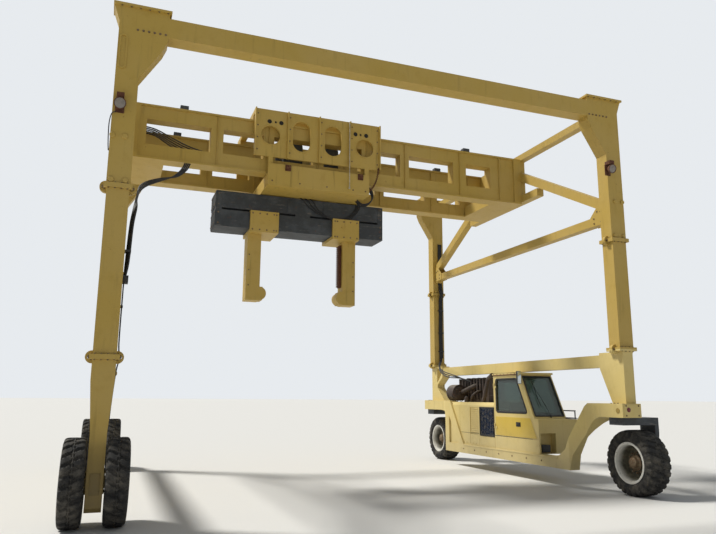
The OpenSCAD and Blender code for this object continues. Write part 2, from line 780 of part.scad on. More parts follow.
module radiator_grille() {
  fins = 8;
  rim = 30;
  pitch = (grille_l - 2 * rim) / fins;
  color(BLUE) difference() {
    translate([cab_in + 8, grille_y, grille_z]) cube([42, grille_l, grille_h]);
    for (i = [0:fins - 1])
      translate([cab_in + 7, grille_y + rim + i * pitch + 6, grille_z + rim])
        cube([26, pitch - 12, grille_h - 2 * rim]);
  }
}

module engine() {
  color(SLATE) {
    translate([cab_in + 150, bay_y + 80, sill_top_z + wall])
      cube([body_w - 300, cover_rear_y - wall - bay_y - 160, cover_top_z - sill_top_z - 2 * wall - 30]);
    translate([bay_x + 30, bay_y + 300, sill_top_z + wall])
      cube([bay_w - 60, cover_rear_y - wall - bay_y - 380, engine_top_z - sill_top_z - wall]);
    translate([bay_x + 30, bay_y + 300, cover_top_z + 50])
      cube([bay_w - 60, rear_end_y - bay_y - 150, engine_top_z - cover_top_z - 50]);
  }
}

filter_r = 195;

// Exhaust pipe with its bend on the cover, and the air filter that lies on the rear end post
module exhaust() {
  r = 50;
  lean = 25;
  pipe_l = 560;
  color(SLATE) {
    translate([cab_in + 200, cover_y + 750, cover_top_z + r * sin(lean) + SEAT]) rotate([lean, 0, 0]) {
      cylinder(r = r, h = pipe_l);
      translate([0, 0, pipe_l]) sphere(r = r);
      translate([0, 0, pipe_l]) rotate([40, 0, 0]) cylinder(r = r, h = 190);
    }
    translate([cab_in + filter_r + 10, rear_end_y + 20, arm_top_z + filter_r + SEAT]) rotate([90, 0, 0])
      cylinder(r = filter_r, h = 340);
  }
}

// Columns: distance of each hole from the plate's end, its height over the plate's foot, its radius,
// and half of its upright stretch
PLATE_HOLES = [[310, 430, 185, 0], [920, 480, 175, 130], [1560, 480, 175, 130], [2230, 430, 185, 0]];

module trolley_plate(side) {
  difference() {
    translate([trolley_x0, side > 0 ? plate_y : -plate_y - plate_t, plate_z])
      cube([trolley_l, plate_t, plate_h]);
    for (h = PLATE_HOLES) for (s = [-1, 1])
      translate([trolley_x0 + h[0], side * plate_y + 80, plate_z + h[1] + s * h[3]])
        rotate([90, 0, 0]) cylinder(r = h[2], h = 160);
    for (h = PLATE_HOLES) if (h[3] > 0)
      translate([trolley_x0 + h[0] - h[2], side * plate_y - 80, plate_z + h[1] - h[3]])
        cube([2 * h[2], 160, 2 * h[3]]);
  }
  for (i = [0:4])
    block(trolley_x0 + 12 + i * (trolley_l - 24) / 4, side * (plate_y + plate_t + 25), plate_z,
      24, 50, plate_h);
}

carriage_z = girder_top_z + 20;
carriage_h = 100;
ROLLER_X = [150, 420, trolley_l - 420, trolley_l - 150];

// Side plates, the two carriage bars that hold the rollers, and the cross bars that join them
module trolley_frame() {
  color(CREAM) {
    trolley_plate(-1);
    trolley_plate(1);
    for (x = [trolley_x0, trolley_x0 + trolley_l - 120])
      translate([x, -plate_y, carriage_z + carriage_h])
        cube([120, 2 * plate_y, plate_top_z - carriage_z - carriage_h]);
    for (s = [-1, 1]) difference() {
      translate([trolley_x0, s * girder_y - 55, carriage_z]) cube([trolley_l, 110, carriage_h]);
      for (x = ROLLER_X)
        translate([trolley_x0 + x, s * girder_y + 30, girder_top_z + SEAT + roller_r])
          rotate([90, 0, 0]) cylinder(r = roller_r + 5, h = 60);
    }
  }
}

module trolley_rollers() {
  color(SLATE) for (s = [-1, 1]) for (x = ROLLER_X)
    translate([trolley_x0 + x, s * girder_y + 30 - SEAT, girder_top_z + SEAT + roller_r])
      rotate([90, 0, 0]) cylinder(r = roller_r, h = 60 - 2 * SEAT);
}

module trolley_deck() {
  slot = 90;
  color(CREAM) {
    difference() {
      translate([deck_x, -plate_y, deck_top_z - deck_h]) cube([deck_l, 2 * plate_y, deck_h]);
      for (x = DRUM_X)
        translate([trolley_x0 + x - drum_r - slot / 2, -slot / 2 - 200, deck_top_z - deck_h - 1])
          cube([2 * drum_r + slot, 400 + slot, deck_h + 2]);
    }
    for (s = [-1, 1]) {
      block(deck_x + deck_l / 2, s * (plate_y + 35), deck_top_z - deck_h, deck_l, 70, deck_h + 180);
      for (x = [deck_x, deck_x + deck_l - 90])
        translate([x, s > 0 ? plate_y : -plate_y - plate_t, deck_top_z - 60])
          cube([90, plate_t, plate_z - deck_top_z + 60]);
    }
  }
}

DRUM_X = [900, 1660];

// Two drums, each on a pair of bearing plates that stand on the deck
module hoist_drums() {
  color(SLATE) for (x = DRUM_X) translate([trolley_x0 + x, 0, 0]) {
    translate([0, drum_l / 2, axis_z]) rotate([90, 0, 0]) cylinder(r = drum_r, h = drum_l);
    for (s = [-1, 1]) along_y(s * (drum_l / 2 + 20) - 20, 40) {
      translate([0, axis_z]) circle(r = drum_r + 40);
      translate([-drum_r - 40, deck_top_z]) square([2 * drum_r + 80, axis_z - deck_top_z]);
    }
  }
}

// Rope falls that hang from the drums to the spreader
module hoist_ropes() {
  color(SLATE) for (x = DRUM_X) for (y = [-200, 200]) for (s = [-1, 1])
    translate([trolley_x0 + x + s * (drum_r + rope_r + SEAT), y, spreader_top_z])
      cylinder(r = rope_r, h = axis_z - spreader_top_z);
}

// Spacers that join the upper to the lower spreader beam: distance from the end, and length
SPACERS = [[0, 110], [spreader_l * 0.456, 300], [spreader_l - 110, 110]];

module spreader() {
  color(SLATE) {
    for (z = [lower_beam_z, lower_beam_z + spreader_beam_h + spreader_gap])
      translate([spreader_x0, -spreader_half_y, z])
        cube([spreader_l, 2 * spreader_half_y, spreader_beam_h]);
    for (s = SPACERS)
      translate([spreader_x0 + s[0], -spreader_half_y, lower_beam_z + spreader_beam_h])
        cube([s[1], 2 * spreader_half_y, spreader_gap]);
  }
}

// A clamp arm hangs on the lower beam by a sleeve, and its post ends in a foot with a pad
module clamp_arm(x, turn) {
  out_y = spreader_half_y + FREE + 60;
  z0 = lower_beam_z - FREE - 60;
  pad_r = 130;
  color(CREAM) translate([x, 0, 0]) mirror([turn ? 1 : 0, 0, 0]) {
    difference() {
      translate([-post_w / 2, -out_y, z0])
        cube([sleeve_w, 2 * out_y, lower_beam_z + spreader_beam_h + SEAT + sleeve_t - z0]);
      translate([-post_w, -spreader_half_y - FREE, lower_beam_z - FREE])
        cube([2 * sleeve_w, 2 * (spreader_half_y + FREE), spreader_beam_h + FREE + SEAT]);
    }
    translate([-post_w / 2, -post_d / 2, lower_beam_z - post_l]) cube([post_w, post_d, post_l - FREE - 60]);
    translate([post_w / 2, -post_d / 2, lower_beam_z - post_l + 10]) {
      cube([60, post_d, 2 * pad_r]);
      translate([0, post_d, pad_r]) rotate([90, 0, 0]) cylinder(r = pad_r, h = post_d);
    }
  }
}

heads();
upper_legs();
lower_legs();
cross_beams();
truss(-1);  // truss_left
truss(1);  // truss_right
girder(-1);  // girder_front
girder(1);  // girder_rear
girder_ends();
buffer_stops();
drive_legs();
feet_right();
low_frame();
side_beams();
cab_shell();
cab_roof();
cab_front();
cab_trim();
cab_glass();
seat();
steering_column();
engine_cover();
radiator_grille();
engine();
exhaust();
cab_door();
door_glass();
dual_tyres(-1);  // dual_tyres_front
dual_rims(-1);  // dual_rims_front
dual_tyres(1);  // dual_tyres_rear
dual_rims(1);  // dual_rims_rear
knuckle(-1);  // knuckle_front
steer_tyre(-1);  // tyre_front_right
steer_rim(-1);  // rim_front_right
knuckle(1);  // knuckle_rear
steer_tyre(1);  // tyre_rear_right
steer_rim(1);  // rim_rear_right
trolley_frame();
trolley_rollers();
trolley_deck();
hoist_drums();
hoist_ropes();
spreader();
clamp_arm(arm_left_x, false);  // clamp_arm_left
clamp_arm(arm_right_x, true);  // clamp_arm_right
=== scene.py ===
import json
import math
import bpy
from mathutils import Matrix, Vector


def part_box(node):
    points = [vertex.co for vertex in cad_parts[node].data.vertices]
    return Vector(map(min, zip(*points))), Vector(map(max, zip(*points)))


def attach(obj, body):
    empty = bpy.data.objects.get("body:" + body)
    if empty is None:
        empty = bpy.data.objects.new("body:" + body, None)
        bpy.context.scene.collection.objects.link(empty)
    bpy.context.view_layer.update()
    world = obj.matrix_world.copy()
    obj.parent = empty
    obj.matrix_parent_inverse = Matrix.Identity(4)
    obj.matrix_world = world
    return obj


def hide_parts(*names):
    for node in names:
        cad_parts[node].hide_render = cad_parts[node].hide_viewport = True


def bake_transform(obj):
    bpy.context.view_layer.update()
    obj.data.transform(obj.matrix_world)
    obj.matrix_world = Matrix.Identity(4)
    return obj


bl_info = {
    "name": "Straddle Carrier Dressing",
    "version": (1, 0, 0),
    "blender": (4, 5, 0),
    "location": "View3D > Sidebar > Carrier",
    "description": "Paint, tyres, hoses and fittings for a straddle carrier",
    "category": "Object",
}

from itertools import product

import bmesh
import bpy
from mathutils import Matrix, Vector

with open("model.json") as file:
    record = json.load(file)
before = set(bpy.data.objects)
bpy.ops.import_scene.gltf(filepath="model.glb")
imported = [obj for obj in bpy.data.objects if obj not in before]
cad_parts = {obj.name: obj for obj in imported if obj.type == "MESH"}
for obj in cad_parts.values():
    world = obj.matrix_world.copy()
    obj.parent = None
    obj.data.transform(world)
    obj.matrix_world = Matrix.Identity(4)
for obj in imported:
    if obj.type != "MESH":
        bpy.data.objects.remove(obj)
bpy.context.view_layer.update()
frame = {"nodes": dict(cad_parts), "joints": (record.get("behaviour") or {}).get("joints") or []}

SIDES = (-1, 1)
CORNERS = [(-1, -1), (1, -1), (1, 1), (-1, 1)]

# Places in metres, from the joints and from the solids' corners
PIVOTS = {joint["name"]: joint.get("pos_m") for joint in frame["joints"]}
LEG_X, LEG_Y, WHEEL_Z = (abs(value) for value in PIVOTS["roll_front_left"])
STEER_X = PIVOTS["roll_front_right"][0]
UPPER_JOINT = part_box("upper_legs")[0][2]
LEFT_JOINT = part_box("drive_legs")[1][2]
RIGHT_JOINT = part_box("feet_right")[1][2]
ARM_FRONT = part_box("low_frame")[0][1]
KNUCKLE_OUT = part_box("knuckle_front")[1][0]
CAB_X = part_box("engine_cover")[0][0]
GIRDER_LOW, GIRDER_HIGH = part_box("girder_front")
TROLLEY_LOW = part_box("trolley_frame")[0]
DECK_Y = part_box("trolley_deck")[1][1]
SPREADER_LOW, SPREADER_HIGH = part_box("spreader")
SLEEVE_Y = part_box("clamp_arm_left")[1][1]

# Legs in metres: width at the lower joint, width at the upper joint, depth, front face of the front legs
LEG_W = 0.29
LEG_TOP_W = 0.31
LEG_D = 0.26
LEG_FRONT = -LEG_Y - LEG_D / 2

# Girders and trolley in metres: middle of a girder, thickness of its flanges, outer face of a side plate
GIRDER_Y = 0.68
FLANGE = 0.04
PLATE_Y = 0.92

# Tyres in metres: middle of a twin tyre from the middle of its pair, radius of the tread
TWIN_X = 0.258
TREAD_R = 0.5395

# Hoist in metres: middles of the drums, distance of a rope's fall from them, places of all the falls
DRUM_XS = (-0.96, -0.20)
DRUM_Z = 6.53
ROPE_OUT = 0.1713
ROPE_YS = (-0.2, 0.2)
ROPE_FALLS = [(x + s * ROPE_OUT, y) for x, y, s in product(DRUM_XS, ROPE_YS, SIDES)]

# Small radius that stands for a point on the axis in a turned profile
AXIS_R = 0.001

# Camera that fits the photo: its place in metres, then yaw, pitch and roll in degrees
EYE = (-4.099, -12.642, 1.607)
EYE_TURN = (20.33, 11.084, 0.386)


# Settings


class CarrierPaint(bpy.types.PropertyGroup):
    """Colours of the painted steel and of what is fixed to it"""

    frame_colour: bpy.props.FloatVectorProperty(
        name="Frame paint", description="Paint of the gantry", subtype="COLOR",
        size=3, min=0, max=1, default=(0.47, 0.32, 0.062),
    )
    cab_colour: bpy.props.FloatVectorProperty(
        name="Cab paint", description="Faded paint of the cab and the low frame", subtype="COLOR",
        size=3, min=0, max=1, default=(0.66, 0.52, 0.19),
    )
    door_colour: bpy.props.FloatVectorProperty(
        name="Door panel", description="Fresher paint on the door's lower panel", subtype="COLOR",
        size=3, min=0, max=1, default=(0.60, 0.42, 0.045),
    )
    slate_colour: bpy.props.FloatVectorProperty(
        name="Slate paint", description="Paint of the spreader and the knuckles", subtype="COLOR",
        size=3, min=0, max=1, default=(0.028, 0.033, 0.038),
    )
    rust_colour: bpy.props.FloatVectorProperty(
        name="Rust", description="Rust on chips, seams and lamps", subtype="COLOR",
        size=3, min=0, max=1, default=(0.11, 0.035, 0.014),
    )
    dust_colour: bpy.props.FloatVectorProperty(
        name="Dust", description="Yard dust on the low parts", subtype="COLOR",
        size=3, min=0, max=1, default=(0.30, 0.27, 0.22),
    )


class CarrierWheels(bpy.types.PropertyGroup):
    """Sizes of the tyre tread"""

    lugs: bpy.props.IntProperty(
        name="Lugs", description="Tread lugs around a tyre", min=16, max=40, default=26,
    )
    groove: bpy.props.FloatProperty(
        name="Groove depth", description="Depth of the grooves between the lugs", subtype="DISTANCE",
        unit="LENGTH", min=0.005, max=0.04, default=0.024,
    )


class CarrierHoses(bpy.types.PropertyGroup):
    """Sizes of the hoses and cables"""

    hose_r: bpy.props.FloatProperty(
        name="Hose radius", description="Radius of a hydraulic hose", subtype="DISTANCE",
        unit="LENGTH", min=0.006, max=0.03, default=0.013,
    )
    cable_r: bpy.props.FloatProperty(
        name="Cable radius", description="Radius of a cable", subtype="DISTANCE",
        unit="LENGTH", min=0.004, max=0.02, default=0.009,
    )


class CarrierStage(bpy.types.PropertyGroup):
    """Light and floor"""

    key: bpy.props.FloatProperty(
        name="Key light", description="Strength of the high soft light", min=0, max=6, default=3.4,
    )
    fill: bpy.props.FloatProperty(
        name="Fill light", description="Strength of the light from all round", min=0, max=2, default=0.22,
    )
    lens: bpy.props.FloatProperty(
        name="Lens", description="Focal length of the camera", subtype="DISTANCE_CAMERA",
        min=10, max=100, default=33.18,
    )


# Shader wrapper


class Wire:
    """A shader socket; sums, differences and products on it add Math nodes"""

    def __init__(self, shader, socket):
        self.shader = shader
        self.socket = socket

    def maths(self, operation, *values):
        """A Math node of that operation on the values"""
        return self.shader.node("ShaderNodeMath", {"operation": operation}, values)

    def __add__(self, other):
        return self.maths("ADD", self, other)

    def __radd__(self, other):
        return self.maths("ADD", other, self)

    def __sub__(self, other):
        return self.maths("SUBTRACT", self, other)

    def __rsub__(self, other):
        return self.maths("SUBTRACT", other, self)

    def __mul__(self, other):
        return self.maths("MULTIPLY", self, other)

    def __rmul__(self, other):
        return self.maths("MULTIPLY", other, self)


class Shader:
    """One material and the nodes that make it"""

    def __init__(self, name):
        self.material = bpy.data.materials.new(name)
        self.material.use_nodes = True
        self.tree = self.material.node_tree
        self.tree.nodes.clear()
        self.out = self.tree.nodes.new("ShaderNodeOutputMaterial")
        self.bsdf = self.tree.nodes.new("ShaderNodeBsdfPrincipled")
        self.tree.links.new(self.bsdf.outputs[0], self.out.inputs[0])

    def feed(self, socket, value):
        """Links a wire to the socket, or sets the socket to a plain value"""
        if isinstance(value, Wire):
            self.tree.links.new(value.socket, socket)
        else:
            socket.default_value = value

    def node(self, kind, settings=None, values=(), out=0):
        """A node of that kind; values sets or links its sockets, by number or by name"""
        made = self.tree.nodes.new(kind)
        for key, value in (settings or {}).items():
            setattr(made, key, value)
        pairs = values.items() if isinstance(values, dict) else enumerate(values)
        for key, value in pairs:
            self.feed(made.inputs[key], value)
        return Wire(self, made.outputs[out])

    def place(self):
        """The point on the object, in metres"""
        return self.node("ShaderNodeTexCoord", out="Object")

    def noise(self, scale, detail, rough=0.55, stretch=None):
        """Noise from 0 to 1 with that many features a metre; stretch is a factor for each axis"""
        at = self.place()
        if stretch:
            at = self.node("ShaderNodeVectorMath", {"operation": "MULTIPLY"}, {0: at, 1: stretch})
        return self.node(
            "ShaderNodeTexNoise", None,
            {"Vector": at, "Scale": scale, "Detail": detail, "Roughness": rough},
        )

    def step(self, value, low, high):
        """0 below low, 1 above high, smooth between"""
        return self.node(
            "ShaderNodeMapRange", {"interpolation_type": "SMOOTHSTEP"},
            {"Value": value, "From Min": low, "From Max": high, "To Min": 0.0, "To Max": 1.0},
        )

    def mix(self, factor, a, b):
        """Colour a where factor is 0, b where it is 1"""
        a = tuple(a) + (1,) if isinstance(a, (tuple, list)) and len(a) == 3 else a
        b = tuple(b) + (1,) if isinstance(b, (tuple, list)) and len(b) == 3 else b
        return self.node("ShaderNodeMix", {"data_type": "RGBA"}, {0: factor, 6: a, 7: b}, out=2)

    def axis(self, which):
        """One coordinate of the point on the object: 0 is X, 1 is Y, 2 is Z"""
        return self.node("ShaderNodeSeparateXYZ", None, [self.place()], out=which)

    def set(self, **values):
        """Sets the shader's own sockets; an underscore stands for a space"""
        for key, value in values.items():
            self.feed(self.bsdf.inputs[key.replace("_", " ")], value)

    def bump(self, height, strength, distance):
        """Small relief; distance is its depth in metres"""
        normal = self.node(
            "ShaderNodeBump", None, {"Height": height, "Strength": strength, "Distance": distance}
        )
        self.set(Normal=normal)


def paint_finish(name, colour, rust, dust, wear=1.0, chalk=0.0):
    """Machine paint with faded patches, streaks, chips, rust spots and dust near the ground"""
    sh = Shader(name)
    wide = sh.noise(0.9, 3)
    mid = sh.noise(5.0, 6, 0.62)
    fine = sh.noise(38.0, 6, 0.7)
    streak = sh.noise(3.0, 5, 0.6, stretch=(4.0, 4.0, 0.35))
    spots = sh.noise(14.0, 8, 0.72)
    faded = tuple(min(1.0, c * 0.95 + 0.055) for c in colour)
    deep = tuple(c * k for c, k in zip(colour, (0.78, 0.74, 0.62)))
    base = sh.mix(sh.step(wide, 0.35, 0.68) * (0.45 + chalk), colour, faded)
    base = sh.mix(sh.step(mid, 0.52, 0.80) * 0.45, base, deep)
    base = sh.mix(sh.step(streak, 0.55, 0.78) * 0.40 * wear, base, tuple(c * 0.45 for c in colour))
    base = sh.mix(sh.step(fine, 0.55, 0.75) * 0.16, base, (0.06, 0.05, 0.03))
    edge = sh.step(spots + fine * 0.25, 0.80, 0.86) * wear
    base = sh.mix(edge, base, rust)
    run = sh.step(streak * 0.6 + spots * 0.5, 0.70, 0.80) * 0.5 * wear
    base = sh.mix(run, base, tuple(0.5 * a + 0.5 * b for a, b in zip(rust, colour)))
    low = (1 - sh.step(sh.axis(2), 0.25, 1.3)) * (0.35 + mid * 0.5)
    base = sh.mix(low * 0.55, base, dust)
    sh.set(Base_Color=base, Metallic=0.0, Roughness=0.42 + mid * 0.28 + edge * 0.3)
    sh.bump(fine * 0.35 + mid * 0.5 + edge * -0.6, 0.35, 0.004)
    return sh.material


def slate_finish(name, colour, rust, dust):
    """Dark paint with scuffs, dust that settled on it and rust breaking through"""
    sh = Shader(name)
    mid = sh.noise(4.0, 6, 0.62)
    fine = sh.noise(45.0, 5, 0.7)
    spots = sh.noise(11.0, 8, 0.7)
    scuff = sh.noise(9.0, 4, 0.6, stretch=(0.5, 3.0, 3.0))
    base = sh.mix(sh.step(mid, 0.40, 0.75) * 0.6, colour, tuple(c * 2.6 + 0.012 for c in colour))
    base = sh.mix(sh.step(scuff, 0.58, 0.75) * 0.45, base, dust)
    base = sh.mix(sh.step(spots, 0.60, 0.68) * 0.75, base, rust)
    up = sh.step(sh.node("ShaderNodeSeparateXYZ", None,
                         [sh.node("ShaderNodeNewGeometry", out="Normal")], out=2), 0.5, 0.95)
    base = sh.mix(up * 0.45, base, dust)
    sh.set(Base_Color=base, Roughness=0.5 + fine * 0.3, Metallic=0.0)
    sh.bump(fine * 0.5 + spots * 0.5, 0.4, 0.004)
    return sh.material


def rubber_finish(name, dust):
    """Tyre rubber: near black, dusty on the tread and in the grooves, with fine cracks"""
    sh = Shader(name)
    mid = sh.noise(6.0, 5, 0.6)
    fine = sh.noise(70.0, 5, 0.7)
    base = sh.mix(sh.step(mid, 0.3, 0.8), (0.012, 0.012, 0.012), (0.028, 0.027, 0.026))
    cover = sh.step(mid + fine * 0.35, 0.55, 0.95) * 0.6
    base = sh.mix(cover, base, tuple(c * 0.55 for c in dust))
    sh.set(Base_Color=base, Roughness=0.72 + fine * 0.2, Specular_IOR_Level=0.35)
    cracks = sh.node("ShaderNodeTexVoronoi", {"feature": "DISTANCE_TO_EDGE"},
                     {"Vector": sh.place(), "Scale": 60.0})
    sh.bump(fine * 0.6 + sh.step(cracks, 0.0, 0.05) * 0.4, 0.4, 0.002)
    return sh.material


def rim_finish(name, rust, dust, hubs, ring_r):
    """Chalky white paint on the rim's ring; the dished disc inside it is dark olive grey"""
    sh = Shader(name)
    point = sh.place()
    nearest = None
    for x, y in hubs:
        gap = sh.node("ShaderNodeVectorMath", {"operation": "SUBTRACT"}, {0: point, 1: (x, y, WHEEL_Z)})
        gap = sh.node("ShaderNodeVectorMath", {"operation": "MULTIPLY"}, {0: gap, 1: (0.0, 1.0, 1.0)})
        radius = sh.node("ShaderNodeVectorMath", {"operation": "LENGTH"}, {0: gap}, out="Value")
        nearest = radius if nearest is None else sh.node(
            "ShaderNodeMath", {"operation": "MINIMUM"}, [nearest, radius])
    mid = sh.noise(9.0, 6, 0.65)
    fine = sh.noise(60.0, 4, 0.7)
    spots = sh.noise(18.0, 6, 0.7)
    ring = sh.step(nearest + mid * 0.02, ring_r - 0.03, ring_r - 0.005)
    disc = sh.mix(sh.step(mid, 0.35, 0.7), (0.055, 0.053, 0.035), (0.16, 0.145, 0.10))
    white = sh.mix(sh.step(mid, 0.45, 0.8) * 0.6, (0.70, 0.69, 0.64), (0.42, 0.40, 0.35))
    base = sh.mix(ring, disc, white)
    base = sh.mix(sh.step(spots, 0.60, 0.68) * 0.8, base, rust)
    base = sh.mix(sh.step(fine, 0.5, 0.8) * 0.35, base, dust)
    sh.set(Base_Color=base, Roughness=0.55 + fine * 0.25)
    sh.bump(fine * 0.4 + mid * 0.6, 0.3, 0.003)
    return sh.material


def bare_finish(name, colour, rough, metal=0.0, spot=None, scale=30.0):
    """A plainer finish for small fittings, with its own grain"""
    sh = Shader(name)
    mid = sh.noise(scale * 0.3, 4, 0.6)
    fine = sh.noise(scale * 2.0, 4, 0.7)
    base = sh.mix(sh.step(mid, 0.35, 0.7), colour, tuple(c * 0.6 for c in colour))
    if spot:
        base = sh.mix(sh.step(sh.noise(scale, 6, 0.7), 0.48, 0.62) * 0.8, base, spot)
    sh.set(Base_Color=base, Roughness=rough + fine * 0.2, Metallic=metal)
    sh.bump(fine, 0.25, 0.001)
    return sh.material


def glass_finish(name):
    """Grey-green window glass with a film of dust"""
    sh = Shader(name)
    mid = sh.noise(2.5, 5, 0.6)
    film = sh.step(mid, 0.45, 0.8) * 0.25
    sh.set(
        Base_Color=sh.mix(film, (0.16, 0.23, 0.20), (0.34, 0.35, 0.30)),
        Roughness=0.04 + film * 0.4, Transmission_Weight=0.85, IOR=1.45,
    )
    return sh.material


def rope_finish(name):
    """Steel rope: strands laid round the rope, greased and dark"""
    sh = Shader(name)
    x, y, z = (sh.axis(k) for k in range(3))
    lay = (x + y) * 220.0 + z * 260.0
    strand = sh.node("ShaderNodeMath", {"operation": "SINE"}, [lay])
    grime = sh.noise(20.0, 4)
    base = sh.mix(sh.step(grime, 0.4, 0.7), (0.10, 0.095, 0.085), (0.025, 0.022, 0.02))
    sh.set(Base_Color=base, Metallic=0.55, Roughness=0.45 + grime * 0.2)
    sh.bump(strand, 0.6, 0.002)
    return sh.material


def vinyl_finish(name):
    """Black seat vinyl with a leather grain"""
    sh = Shader(name)
    grain = sh.node("ShaderNodeTexVoronoi", {"feature": "DISTANCE_TO_EDGE"},
                    {"Vector": sh.place(), "Scale": 160.0})
    worn = sh.noise(7.0, 5)
    base = sh.mix(sh.step(worn, 0.4, 0.75), (0.014, 0.014, 0.015), (0.05, 0.048, 0.045))
    sh.set(Base_Color=base, Roughness=0.45 + worn * 0.2)
    sh.bump(sh.step(grain, 0.0, 0.12), 0.35, 0.001)
    return sh.material


# Finishes made so far
FINISHES = {}


def finish_of(name):
    """The material of that name, made on its first use"""
    if name in FINISHES:
        return FINISHES[name]
    tone = bpy.context.scene.carrier_paint
    rust, dust = tuple(tone.rust_colour), tuple(tone.dust_colour)
    gantry, faded = tuple(tone.frame_colour), tuple(tone.cab_colour)
    steer = [(STEER_X, s * LEG_Y) for s in SIDES]
    drive = [(-LEG_X, s * LEG_Y) for s in SIDES]
    recipes = {
        "gantry_paint": lambda: paint_finish(name, gantry, rust, dust),
        "worn_paint": lambda: paint_finish(name, tuple(c * 1.08 for c in gantry), rust, dust, wear=1.7),
        "faded_paint": lambda: paint_finish(name, faded, rust, dust, wear=0.55, chalk=0.25),
        "door_paint": lambda: paint_finish(name, tuple(tone.door_colour), rust, dust, wear=0.4),
        "cleat_paint": lambda: paint_finish(name, tuple(c * 0.72 for c in gantry), rust, dust, wear=1.2),
        "slate_paint": lambda: slate_finish(name, tuple(tone.slate_colour), rust, dust),
        "engine_iron": lambda: slate_finish(name, (0.040, 0.026, 0.019), rust, dust),
        "tyre_rubber": lambda: rubber_finish(name, dust),
        "seal_rubber": lambda: bare_finish(name, (0.010, 0.010, 0.010), 0.6),
        "hose_rubber": lambda: bare_finish(name, (0.014, 0.014, 0.015), 0.5),
        "steer_rim_paint": lambda: rim_finish(name, rust, dust, steer, 0.312),
        "drive_rim_paint": lambda: rim_finish(name, rust, dust, drive, 0.272),
        "window_glass": lambda: glass_finish(name),
        "grille_blue": lambda: bare_finish(name, (0.022, 0.042, 0.095), 0.5, spot=dust),
        "seat_vinyl": lambda: vinyl_finish(name),
        "wheel_rim_plastic": lambda: bare_finish(name, (0.016, 0.016, 0.016), 0.38),
        "rope_steel": lambda: rope_finish(name),
        "pale_rope": lambda: bare_finish(name, (0.62, 0.57, 0.42), 0.85, spot=dust),
        "bolt_steel": lambda: bare_finish(name, (0.23, 0.17, 0.10), 0.5, 0.4, rust, 40.0),
        "rusty_iron": lambda: bare_finish(name, rust, 0.75, 0.0, (0.20, 0.09, 0.04), 25.0),
        "lamp_glass": lambda: bare_finish(name, (0.26, 0.23, 0.20), 0.12),
        "mirror_glass": lambda: bare_finish(name, (0.55, 0.60, 0.62), 0.05, 1.0, None, 8.0),
        "red_lens": lambda: bare_finish(name, (0.16, 0.010, 0.012), 0.25),
        # Near-black finish of the discs in the trolley's small holes: painted shade for the inside of each
        # hole
        "painted_hole_shade": lambda: bare_finish(name, (0.020, 0.018, 0.014), 0.8),
    }
    FINISHES[name] = recipes[name]()
    return FINISHES[name]


# Mesh builder


